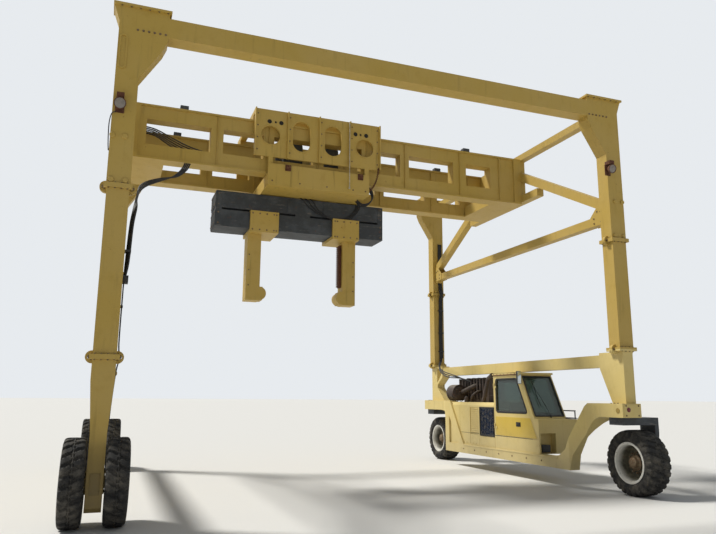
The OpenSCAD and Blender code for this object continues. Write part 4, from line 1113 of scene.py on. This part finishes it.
class CARRIER_OT_hoist_fittings(bpy.types.Operator):
    """Winds the rope on the drums and hangs its falls down to the sockets on the spreader"""

    bl_idname = "carrier.hoist_fittings"
    bl_label = "Hoist fittings"

    def execute(self, context):
        rope, falls, sockets = Piece(), Piece(), Piece()
        wind_r, turns, per_turn = 0.170, 22, 14
        for x in DRUM_XS:
            line = []
            for k in range(turns * per_turn + 1):
                a = 2 * math.pi * k / per_turn
                y = -0.275 + 0.55 * k / (turns * per_turn)
                line.append((x + wind_r * math.cos(a), y, DRUM_Z + wind_r * math.sin(a)))
            rope.pipe(line, 0.0105, 6, 1)
        rope.put("drum_rope", "rope_steel", "trolley", "rope_steel")
        top = SPREADER_HIGH[2]
        for x, y in ROPE_FALLS:
            falls.pipe([(x, y, DRUM_Z), (x, y, top + 0.011)], 0.011, 10, 30)
        piece = falls.put("rope_falls", "rope_steel", None, "rope_steel")
        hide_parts("hoist_ropes")
        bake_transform(piece)
        for x, y in ROPE_FALLS:
            sockets.rod((x, y, top + 0.002), (x, y, top + 0.016), 0.036, 0.030, 18)
            sockets.rod((x, y, top + 0.014), (x, y, top + 0.032), 0.020, 0.014, 14)
        sockets.put("rope_sockets", "bolt_steel", "spreader", "slate_paint")
        return {"FINISHED"}


class CARRIER_OT_spreader_fittings(bpy.types.Operator):
    """Bolts the spreader's beams, gives them their end plates and hangs the hoses on them"""

    bl_idname = "carrier.spreader_fittings"
    bl_label = "Spreader fittings"

    def execute(self, context):
        bolts, plates = Piece(), Piece()
        x0, x1, face = SPREADER_LOW[0], SPREADER_HIGH[0], SPREADER_HIGH[1]
        for s in SIDES:
            for z, x in product((4.84, 5.05, 5.21, 5.42), (x0 + 0.05, x1 - 0.05)):
                bolts.bolt((x, s * face, z), (0, s, 0), 0.012, 0.012)
            y0, y1 = sorted((s * face, s * (face + 0.008)))
            for x in (-2.36, -1.0, -0.25, 0.94):
                plates.box((x - 0.04, y0, 5.17), (x + 0.04, y1, 5.46), 0.003)
        for x, out in ((x0, -1), (x1, 1)):
            a, b = sorted((x, x + out * 0.010))
            for z in (4.80, 5.17):
                plates.box((a, -0.28, z), (b, 0.28, z + 0.29), 0.003)
                for y, dz in product((-0.23, -0.08, 0.08, 0.23), (0.04, 0.25)):
                    bolts.bolt((x + out * 0.010, y, z + dz), (out, 0, 0), 0.011, 0.011)
        plates.put("spreader_plates", "slate_paint", "spreader", "slate_paint")
        bolts.put("spreader_bolts", "bolt_steel", "spreader", "slate_paint")
        for k in range(3):
            x, front, sag = 0.10 * k, -0.328 - 0.006 * k, 0.02 * k
            end = 0.42 + 0.04 * k
            hang(f"spreader_hose_{k + 1}", [
                (x - 0.86, -0.20 - 0.02 * k, 5.492), (x - 0.80, -0.27, 5.515), (x - 0.72, -0.325, 5.46),
                (x - 0.60, front, 5.33 - sag), (-0.38 + 0.09 * k, front, 5.20 - sag),
                (-0.12 + 0.07 * k, front, 5.13 - sag), (0.12 + 0.05 * k, front, 5.15 - sag),
                (end - 0.12, -0.328 - 0.004 * k, 5.25), (end - 0.02, -0.322, 5.39), (end, -0.285, 5.50),
                (end, -0.22, 5.505), (end, -0.15, 5.492),
            ], context.scene.carrier_hoses.cable_r, "hose_rubber", "spreader")
        return {"FINISHED"}


class CARRIER_OT_arm_fittings(bpy.types.Operator):
    """Bolts the clamp arms' sleeves and puts the rack on the right arm"""

    bl_idname = "carrier.arm_fittings"
    bl_label = "Clamp arm fittings"

    def execute(self, context):
        for body, x, turn in (("clamp_arm_left", -1.635, 1), ("clamp_arm_right", 0.33, -1)):
            bolts = Piece()
            for s in SIDES:
                for dx, z in product((-0.09, 0.05, 0.19, 0.33, 0.38), (4.76, 5.08)):
                    bolts.bolt((x + turn * dx, s * SLEEVE_Y, z), (0, s, 0), 0.011, 0.012)
                for z in (4.30, 4.0, 3.7):
                    bolts.bolt((x - turn * 0.09, s * 0.15, z), (0, s, 0), 0.010, 0.010)
            bolts.put(f"{body}_bolts", "bolt_steel", body, "frame_paint")
        rack = Piece()
        rack.box((0.150, -0.07, 3.78), (0.197, 0.07, 4.66), 0.004)
        for k in range(21):
            z = 3.80 + 0.041 * k
            rack.box((0.128, -0.085, z), (0.156, 0.085, z + 0.022), 0.003)
        rack.put("arm_rack", "rusty_iron", "clamp_arm_right", "slate_paint")
        return {"FINISHED"}


def loop_strip(piece, outline, x, out, wide, thick):
    """A raised strip round an outline of (y, z), on the plane at x"""
    n = len(outline)
    mid = Vector((sum(p[0] for p in outline) / n, sum(p[1] for p in outline) / n))
    rings = []
    for grow, lift in ((0.0, 0.0), (1.0, 0.0), (0.8, thick), (0.2, thick)):
        ring = []
        for i, p in enumerate(outline):
            before, after = Vector(outline[i - 1]), Vector(outline[(i + 1) % n])
            here = Vector(p)
            one = (here - before).normalized()
            two = (after - here).normalized()
            normal = Vector((one.y + two.y, -(one.x + two.x)))
            normal = normal.normalized() if normal.length > 1e-6 else (here - mid).normalized()
            if normal.dot(here - mid) < 0:
                normal = -normal
            q = here + normal * wide * (grow - 0.5)
            ring.append(piece.bm.verts.new((x + out * lift, q.x, q.y)))
        rings.append(ring)
    for a, b in ((0, 1), (1, 2), (2, 3), (3, 0)):
        for i in range(n):
            j = (i + 1) % n
            piece.bm.faces.new([rings[a][i], rings[a][j], rings[b][j], rings[b][i]])


def rounded(points, r, steps=4):
    """The outline with its corners rounded to about r"""
    n = len(points)
    line = []
    for i in range(n):
        p0, p1, p2 = (Vector(points[k % n]) for k in (i - 1, i, i + 1))
        a = p1 + (p0 - p1).normalized() * min(r, (p0 - p1).length * 0.45)
        b = p1 + (p2 - p1).normalized() * min(r, (p2 - p1).length * 0.45)
        for k in range(steps + 1):
            t = k / steps
            line.append(tuple((1 - t) ** 2 * a + 2 * t * (1 - t) * p1 + t * t * b))
    return line


def screen_y(z):
    """Place along the machine of the windscreen's face at height z"""
    foot_y, foot_z, head_z, rake = -1.37, 1.20, 2.07, 0.44
    return foot_y + rake * (z - foot_z) / (head_z - foot_z)


# Outline of the door's window: (y, z)
DOOR_WINDOW = [(-0.01, 1.30), (-0.01, 1.985), (screen_y(1.985) + 0.19, 1.985), (screen_y(1.34) + 0.18, 1.33),
               (screen_y(1.30) + 0.215, 1.30)]


class CARRIER_OT_cab_fittings(bpy.types.Operator):
    """Seals the cab's windows and fits handle, wiper, mirror glass, a black block of painted shade in the
    step's pocket, dashboard and steering wheel
    """

    bl_idname = "carrier.cab_fittings"
    bl_label = "Cab fittings"

    def execute(self, context):
        seals = Piece()
        loop_strip(seals, rounded(DOOR_WINDOW, 0.05), CAB_X, -1, 0.045, 0.010)
        seals.put("door_window_seal", "seal_rubber", "cab_door", "black_trim")

        panel = Piece()
        foot, head = 0.815, 1.20
        low = [(0.030, foot), (0.030, head), (screen_y(head) + 0.135, head), (screen_y(foot) + 0.135, foot)]
        panel.plate(rounded(low, 0.02, 2), CAB_X - 0.006, 0.008)
        panel.put("door_lower_panel", "door_paint", "cab_door", "cab_paint")

        handle = Piece()
        bar_x, bar_z = CAB_X - 0.022, 1.075
        handle.box((CAB_X - 0.012, -0.90, 1.02), (CAB_X + 0.002, -0.74, 1.11), 0.004)
        handle.rod((bar_x, -0.87, bar_z), (bar_x, -0.77, bar_z), 0.009)
        for y in (-0.86, -0.78):
            handle.rod((bar_x, y, bar_z), (CAB_X - 0.006, y, bar_z), 0.007)
        handle.put("door_handle", "seal_rubber", "cab_door", "black_trim")

        frame_seal = Piece()
        lo, hi = 1.245, 2.025
        slope = Vector((0, screen_y(hi) - screen_y(lo), hi - lo)).normalized()
        out = Vector((0, -slope.z, slope.y))
        corners = [Vector((x, screen_y(z), z))
                   for x, z in ((3.845, lo), (4.515, lo), (4.515, hi), (3.845, hi))]
        for a, b in zip(corners, corners[1:] + corners[:1]):
            frame_seal.pipe([a + out * 0.002, b + out * 0.002], 0.016, 8, 2)
        frame_seal.put("windscreen_seal", "seal_rubber", "frame", "black_trim")

        wiper = Piece()
        base = Vector((4.20, screen_y(1.23), 1.23)) + out * 0.02
        tip = Vector((4.02, screen_y(1.80), 1.80)) + out * 0.03
        wiper.pipe([base, (base + tip) / 2 + out * 0.015, tip], 0.006, 6, 5)
        blade = [Vector((x, screen_y(z), z)) + out * 0.022 for x, z in ((4.03, 1.42), (4.01, 1.95))]
        wiper.pipe(blade, 0.008, 6, 2)
        wiper.rod(base - out * 0.02, base + out * 0.02, 0.02)
        wiper.put("wiper", "seal_rubber", "frame", "black_trim")

        mirror = Piece()
        mirror.box((3.700, -1.0, 1.885), (3.780, -0.996, 2.125), 0.002)
        mirror.put("mirror_glass", "mirror_glass", "frame", "window_glass")

        # The step's pocket is filled with a near-black block with three thin strips on its face: painted
        # shade for the recess
        step = Piece()
        step.box((3.862, -1.505, 0.56), (4.05, -1.37, 0.70), 0.006)
        for k in range(3):
            z = 0.585 + 0.035 * k
            step.box((3.856, -1.50, z), (3.863, -1.375, z + 0.015), 0.002)
        step.put("step_pocket_painted_shade", "seal_rubber", "frame", "black_trim")

        tray = Piece()
        tray.box((4.525, -1.49, 1.197), (4.745, -0.96, 1.210), 0.003)
        for k in range(4):
            x = 4.545 + 0.055 * k
            tray.box((x, -1.47, 1.209), (x + 0.015, -0.98, 1.216), 0.002)
        tray.put("step_tray", "seal_rubber", "frame", "black_trim")

        seam = Piece()
        seam.box((CAB_X - 0.0025, -1.28, 0.797), (CAB_X + 0.001, 1.66, 0.804), 0.0)
        seam.put("panel_seam", "seal_rubber", "frame", "black_trim")

        gutter = Piece()
        gutter.box((3.782, -0.96, 2.062), (3.790, 0.09, 2.082), 0.002)
        for k in range(8):
            gutter.bolt((3.785, -0.90 + 0.135 * k, 2.092), (-1, 0, 0), 0.007, 0.007)
        gutter.put("roof_gutter", "rusty_iron", "frame", "cab_paint")

        inside = Piece()
        inside.box((3.86, -1.38, 1.08), (4.50, -1.22, 1.17), 0.01)
        inside.box((4.22, -1.30, 1.17), (4.46, -1.20, 1.25), 0.01)
        inside.put("dashboard", "wheel_rim_plastic", "frame", "black_trim")

        wheel = Piece()
        x, y, z = 4.18, -1.17, 1.035
        wheel_r, grip_r = 0.165, 0.016
        grip = [(wheel_r + grip_r * math.cos(a), grip_r * math.sin(a))
                for a in (2 * math.pi * k / 8 for k in range(8))]
        wheel.turned(grip, (x, y, z), (0, 0, 1), 40)
        for a in (0.5, 2.6, 4.7):
            wheel.rod((x, y, z), (x + 0.16 * math.cos(a), y + 0.16 * math.sin(a), z), 0.012)
        wheel.put("steering_wheel", "wheel_rim_plastic", "frame", "black_trim")
        return {"FINISHED"}


def cushion(name, lo, hi, crown_axis):
    """A crowned vinyl cushion whose sides pull in between its corners, with sewn channels"""
    lo, hi = Vector(lo), Vector(hi)
    bm = bmesh.new()
    bmesh.ops.create_cube(bm, size=2.0)
    bmesh.ops.subdivide_edges(bm, edges=bm.edges[:], cuts=23, use_grid_fill=True)
    mid, half = (lo + hi) / 2, (hi - lo) / 2
    others = [k for k in range(3) if k != crown_axis]
    for v in bm.verts:
        p = v.co.copy()
        u, w = p[others[0]], p[others[1]]
        edge = max(abs(u), abs(w))
        round_off = 1 - 0.14 * edge ** 6
        bulge = 0.60 + 0.32 * (1 - u * u) ** 0.5 * (1 - w * w) ** 0.5 if edge < 1 else 0.60
        channel = sum(0.13 * math.exp(-((u - line) / 0.06) ** 2) for line in (-0.35, 0.35))
        q = Vector((0, 0, 0))
        q[crown_axis] = p[crown_axis] * (bulge - (channel if abs(p[crown_axis]) > 0.5 else 0.0))
        q[others[0]] = u * round_off * (0.985 - 0.03 * (1 - w * w))
        q[others[1]] = w * round_off * (0.985 - 0.03 * (1 - u * u))
        v.co = mid + Vector((q.x * half.x, q.y * half.y, q.z * half.z))
    mesh = bpy.data.meshes.new(name)
    bmesh.ops.recalc_face_normals(bm, faces=bm.faces)
    bm.to_mesh(mesh)
    bm.free()
    piece = bpy.data.objects.new(name, mesh)
    bpy.context.scene.collection.objects.link(piece)
    swell(piece, 0.005)
    for v in piece.data.vertices:
        for k in range(3):
            v.co[k] = min(max(v.co[k], lo[k]), hi[k])
    for polygon in piece.data.polygons:
        polygon.use_smooth = True
    soft = piece.modifiers.new("soft", "SUBSURF")
    soft.levels = soft.render_levels = 1
    piece.data.materials.append(finish_of("seat_vinyl"))
    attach(piece, "frame")
    return piece


def applied(piece):
    """A mesh of the piece with its modifiers applied"""
    graph = bpy.context.evaluated_depsgraph_get()
    return bpy.data.meshes.new_from_object(piece.evaluated_get(graph))


def swell(piece, reach):
    """Inflates the piece as cloth; no point moves further than reach"""
    frames = 20
    grid = piece.modifiers.new("grid", "REMESH")
    grid.mode = "VOXEL"
    grid.voxel_size = 0.006
    mesh = applied(piece)
    piece.modifiers.clear()
    piece.data = mesh
    start = [v.co.copy() for v in mesh.vertices]
    cloth = piece.modifiers.new("cloth", "CLOTH")
    cloth.settings.use_pressure = True
    cloth.settings.uniform_pressure_force = 4
    cloth.settings.effector_weights.gravity = 0
    cloth.point_cache.frame_start = 1
    cloth.point_cache.frame_end = frames
    for number in range(1, frames + 1):
        bpy.context.scene.frame_set(number)
    moved = applied(piece)
    piece.modifiers.clear()
    for v, old, new in zip(mesh.vertices, start, moved.vertices):
        step = new.co - old
        if step.length > reach:
            step *= reach / step.length
        v.co = old + step
    bpy.context.scene.frame_set(1)


class CARRIER_OT_seat(bpy.types.Operator):
    """Makes the driver's seat: a pedestal, a cushion and a backrest"""

    bl_idname = "carrier.seat"
    bl_label = "Seat"

    def execute(self, context):
        lo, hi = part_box("seat")
        x, foot, head = (lo[0] + hi[0]) / 2, lo[2], hi[2]
        base = Piece()
        base.box((x - 0.14, -0.54, foot), (x + 0.14, -0.26, foot + 0.39), 0.012)
        base.box((x - 0.21, -0.60, foot + 0.385), (x + 0.21, -0.19, foot + 0.405), 0.006)
        base.rod((x - 0.23, -0.45, foot + 0.38), (x - 0.23, -0.62, foot + 0.36), 0.008)
        pedestal = base.put("seat_pedestal", "wheel_rim_plastic", "frame", "black_trim")
        seat = cushion("seat_cushion", (x - 0.228, -0.625, foot + 0.400),
                       (x + 0.228, -0.215, foot + 0.495), 2)
        back = cushion("seat_back", (x - 0.218, -0.262, foot + 0.490),
                       (x + 0.218, -0.172, head - 0.002), 1)
        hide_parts("seat")
        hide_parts("seat")
        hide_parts("seat")
        return {"FINISHED"}


class CARRIER_OT_engine_fittings(bpy.types.Operator):
    """Frames the grille and dresses the cover, the engine and its air filter"""

    bl_idname = "carrier.engine_fittings"
    bl_label = "Engine fittings"

    def execute(self, context):
        rim = Piece()
        low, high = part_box("radiator_grille")
        outline = [(low[1], low[2]), (high[1], low[2]), (high[1], high[2]), (low[1], high[2])]
        loop_strip(rim, outline, CAB_X + 0.002, -1, 0.050, 0.014)
        rim.put("grille_frame", "seal_rubber", "frame", "black_trim")

        slats = Piece()
        tilt = Matrix.Rotation(math.radians(35), 3, "Y")
        for k in range(13):
            z = 0.815 + 0.043 * k
            slats.box((CAB_X - 0.002, 0.775, z - 0.002), (CAB_X + 0.028, 1.105, z + 0.002), 0.001, tilt)
        slats.put("cover_louvres", "faded_paint", "frame", "cab_paint")

        trims = Piece()
        for y in (0.735, 1.145, 1.62):
            trims.box((CAB_X - 0.004, y - 0.008, 0.60), (CAB_X + 0.002, y + 0.008, 1.40), 0.002)
        for y, k in product((0.74, 1.15), range(3)):
            trims.bolt((CAB_X, y + 0.14 * k, 0.58), (-1, 0, 0), 0.009, 0.009)
        trims.put("cover_seams", "faded_paint", "frame", "cab_paint")

        iron = Piece()
        for k in range(9):
            y = 1.18 + 0.14 * k
            iron.box((4.205, y, 1.56), (4.228, y + 0.05, 2.04), 0.006)
        for k in range(4):
            y = 1.25 + 0.25 * k
            iron.pipe([(4.24, y, 2.045), (4.30, y + 0.05, 2.052), (4.45, y + 0.10, 2.050),
                       (4.60, y + 0.05, 2.045)], 0.018, 8, 4)
        iron.pipe([(4.06, 1.92, 1.72), (4.12, 1.72, 1.80), (4.20, 1.60, 1.86), (4.26, 1.55, 1.88)],
                  0.055, 12, 5)
        iron.pipe([(4.03, 1.45, 1.50), (4.02, 1.40, 1.62), (4.12, 1.34, 1.72), (4.24, 1.34, 1.74)],
                  0.03, 10, 5)
        iron.rod((3.96, 1.55, 1.489), (3.96, 1.55, 1.60), 0.06)
        iron.rod((3.96, 1.55, 1.60), (3.96, 1.55, 1.63), 0.045, 0.03)
        iron.put("engine_pipes", "engine_iron", "frame", "slate_paint")

        cap = Piece()
        filter_x, filter_z = 4.005, 1.685
        cap.turned([(AXIS_R, 0.0), (0.150, 0.0), (0.165, 0.006), (0.150, 0.022), (0.06, 0.028),
                    (0.05, 0.045), (AXIS_R, 0.048)], (filter_x, 1.965, filter_z), (0, -1, 0), 36)
        for y in (2.02, 2.24):
            cap.ring((filter_x, y, filter_z), (0, 1, 0), 0.194, 0.202, 0.03, 40)
        cap.put("air_filter_cap", "engine_iron", "frame", "slate_paint")

        eye = Piece()
        eye.ring((3.875, 2.19, 1.40), (1, 0, 0), 0.022, 0.050, 0.03)
        eye.ring((3.895, -3.59, 1.40), (1, 0, 0), AXIS_R, 0.045, 0.006)
        eye.put("frame_eyes", "cleat_paint", "frame", "frame_paint")
        return {"FINISHED"}


class CARRIER_OT_frame_fittings(bpy.types.Operator):
    """Fits the low frame's strips, bolts and reflector, the drive hubs and the knuckles' bolts"""

    bl_idname = "carrier.frame_fittings"
    bl_label = "Low frame fittings"

    def execute(self, context):
        bolts, strips, lens = Piece(), Piece(), Piece()
        for k in range(7):
            bolts.bolt((3.76, -1.6 + 0.5 * k, 0.43), (-1, 0, 0), 0.012, 0.010)
        strips.box((3.752, -2.10, 0.500), (3.762, 1.38, 0.528), 0.003)
        plate = ARM_FRONT - 0.008
        strips.box((3.93, plate, 1.30), (4.27, ARM_FRONT, 1.50), 0.003)
        lens.turned([(AXIS_R, 0), (0.036, 0), (0.040, 0.004), (0.030, 0.010), (AXIS_R, 0.012)],
                    (4.02, plate, 1.415), (0, -1, 0), 26)
        for x, z in product((3.97, 4.23), (1.32, 1.48)):
            bolts.bolt((x, plate, z), (0, -1, 0), 0.010, 0.009)
        for s, x, k in product(SIDES, (3.95, 4.25), range(3)):
            bolts.bolt((x, s * LEG_Y + 0.08 * (k - 1), 1.515), (0, 0, 1), 0.012, 0.012)
        bolts.put("low_frame_bolts", "bolt_steel", "frame", "frame_paint")
        strips.put("low_frame_strips", "faded_paint", "frame", "frame_paint")
        lens.put("arm_reflector", "red_lens", "frame", "slate_paint")

        for word, side in (("front", -1), ("rear", 1)):
            hub, fork = Piece(), Piece()
            hub_y = side * LEG_Y
            for s in SIDES:
                x = -LEG_X + s * 0.1005
                hub.ring((x + s * 0.006, hub_y, WHEEL_Z), (1, 0, 0), 0.0712, 0.150, 0.012, 36)
                for y, z in around(8, 0.125, hub_y, WHEEL_Z, 0.5):
                    hub.bolt((x + s * 0.012, y, z), (s, 0, 0), 0.010, 0.010)
            face = hub_y - 0.17
            hub.box((-LEG_X - 0.06, face - 0.012, 0.40), (-LEG_X + 0.06, face, 0.66), 0.004)
            for dx, z in product((-0.04, 0.04), (0.43, 0.63)):
                hub.bolt((-LEG_X + dx, face - 0.012, z), (0, -1, 0), 0.009, 0.009)
            hub.put(f"drive_hub_{word}", "cleat_paint", "frame", "frame_paint")
            for y, z in around(6, 0.075, hub_y, WHEEL_Z):
                fork.bolt((KNUCKLE_OUT, y, z), (1, 0, 0), 0.012, 0.012)
            for dy in (-0.12, 0.0, 0.12):
                fork.bolt((KNUCKLE_OUT, hub_y + dy, 1.22), (1, 0, 0), 0.012, 0.012)
            fork.put(f"knuckle_bolts_{word}", "bolt_steel", f"knuckle_{word}", "slate_paint")
        return {"FINISHED"}


# Panel and start


STEPS = [
    CARRIER_OT_stage, CARRIER_OT_paint, CARRIER_OT_tyres, CARRIER_OT_wheel_nuts, CARRIER_OT_leg_fittings,
    CARRIER_OT_truss_fittings, CARRIER_OT_hoses, CARRIER_OT_lamps, CARRIER_OT_trolley_fittings,
    CARRIER_OT_hoist_fittings, CARRIER_OT_spreader_fittings, CARRIER_OT_arm_fittings,
    CARRIER_OT_cab_fittings, CARRIER_OT_seat, CARRIER_OT_engine_fittings, CARRIER_OT_frame_fittings,
]


class CARRIER_PT_panel(bpy.types.Panel):
    """Lists the carrier's pieces in the sidebar"""

    bl_label = "Carrier"
    bl_idname = "CARRIER_PT_panel"
    bl_space_type = "VIEW_3D"
    bl_region_type = "UI"
    bl_category = "Carrier"

    def draw(self, context):
        """One button a step"""
        for step in STEPS:
            self.layout.operator(step.bl_idname)


GROUPS = [
    ("carrier_paint", CarrierPaint), ("carrier_wheels", CarrierWheels),
    ("carrier_hoses", CarrierHoses), ("carrier_stage", CarrierStage),
]


def register():
    """Adds the settings, the steps and the panel"""
    for name, group in GROUPS:
        bpy.utils.register_class(group)
        setattr(bpy.types.Scene, name, bpy.props.PointerProperty(type=group))
    for step in STEPS + [CARRIER_PT_panel]:
        bpy.utils.register_class(step)


def unregister():
    """Takes them away again, last first"""
    for step in reversed(STEPS + [CARRIER_PT_panel]):
        bpy.utils.unregister_class(step)
    for name, group in reversed(GROUPS):
        delattr(bpy.types.Scene, name)
        bpy.utils.unregister_class(group)


def main():
    """Runs the steps in order"""
    register()
    for step in STEPS:
        group, name = step.bl_idname.split(".")
        getattr(getattr(bpy.ops, group), name)()


if __name__ == "__main__":
    main()
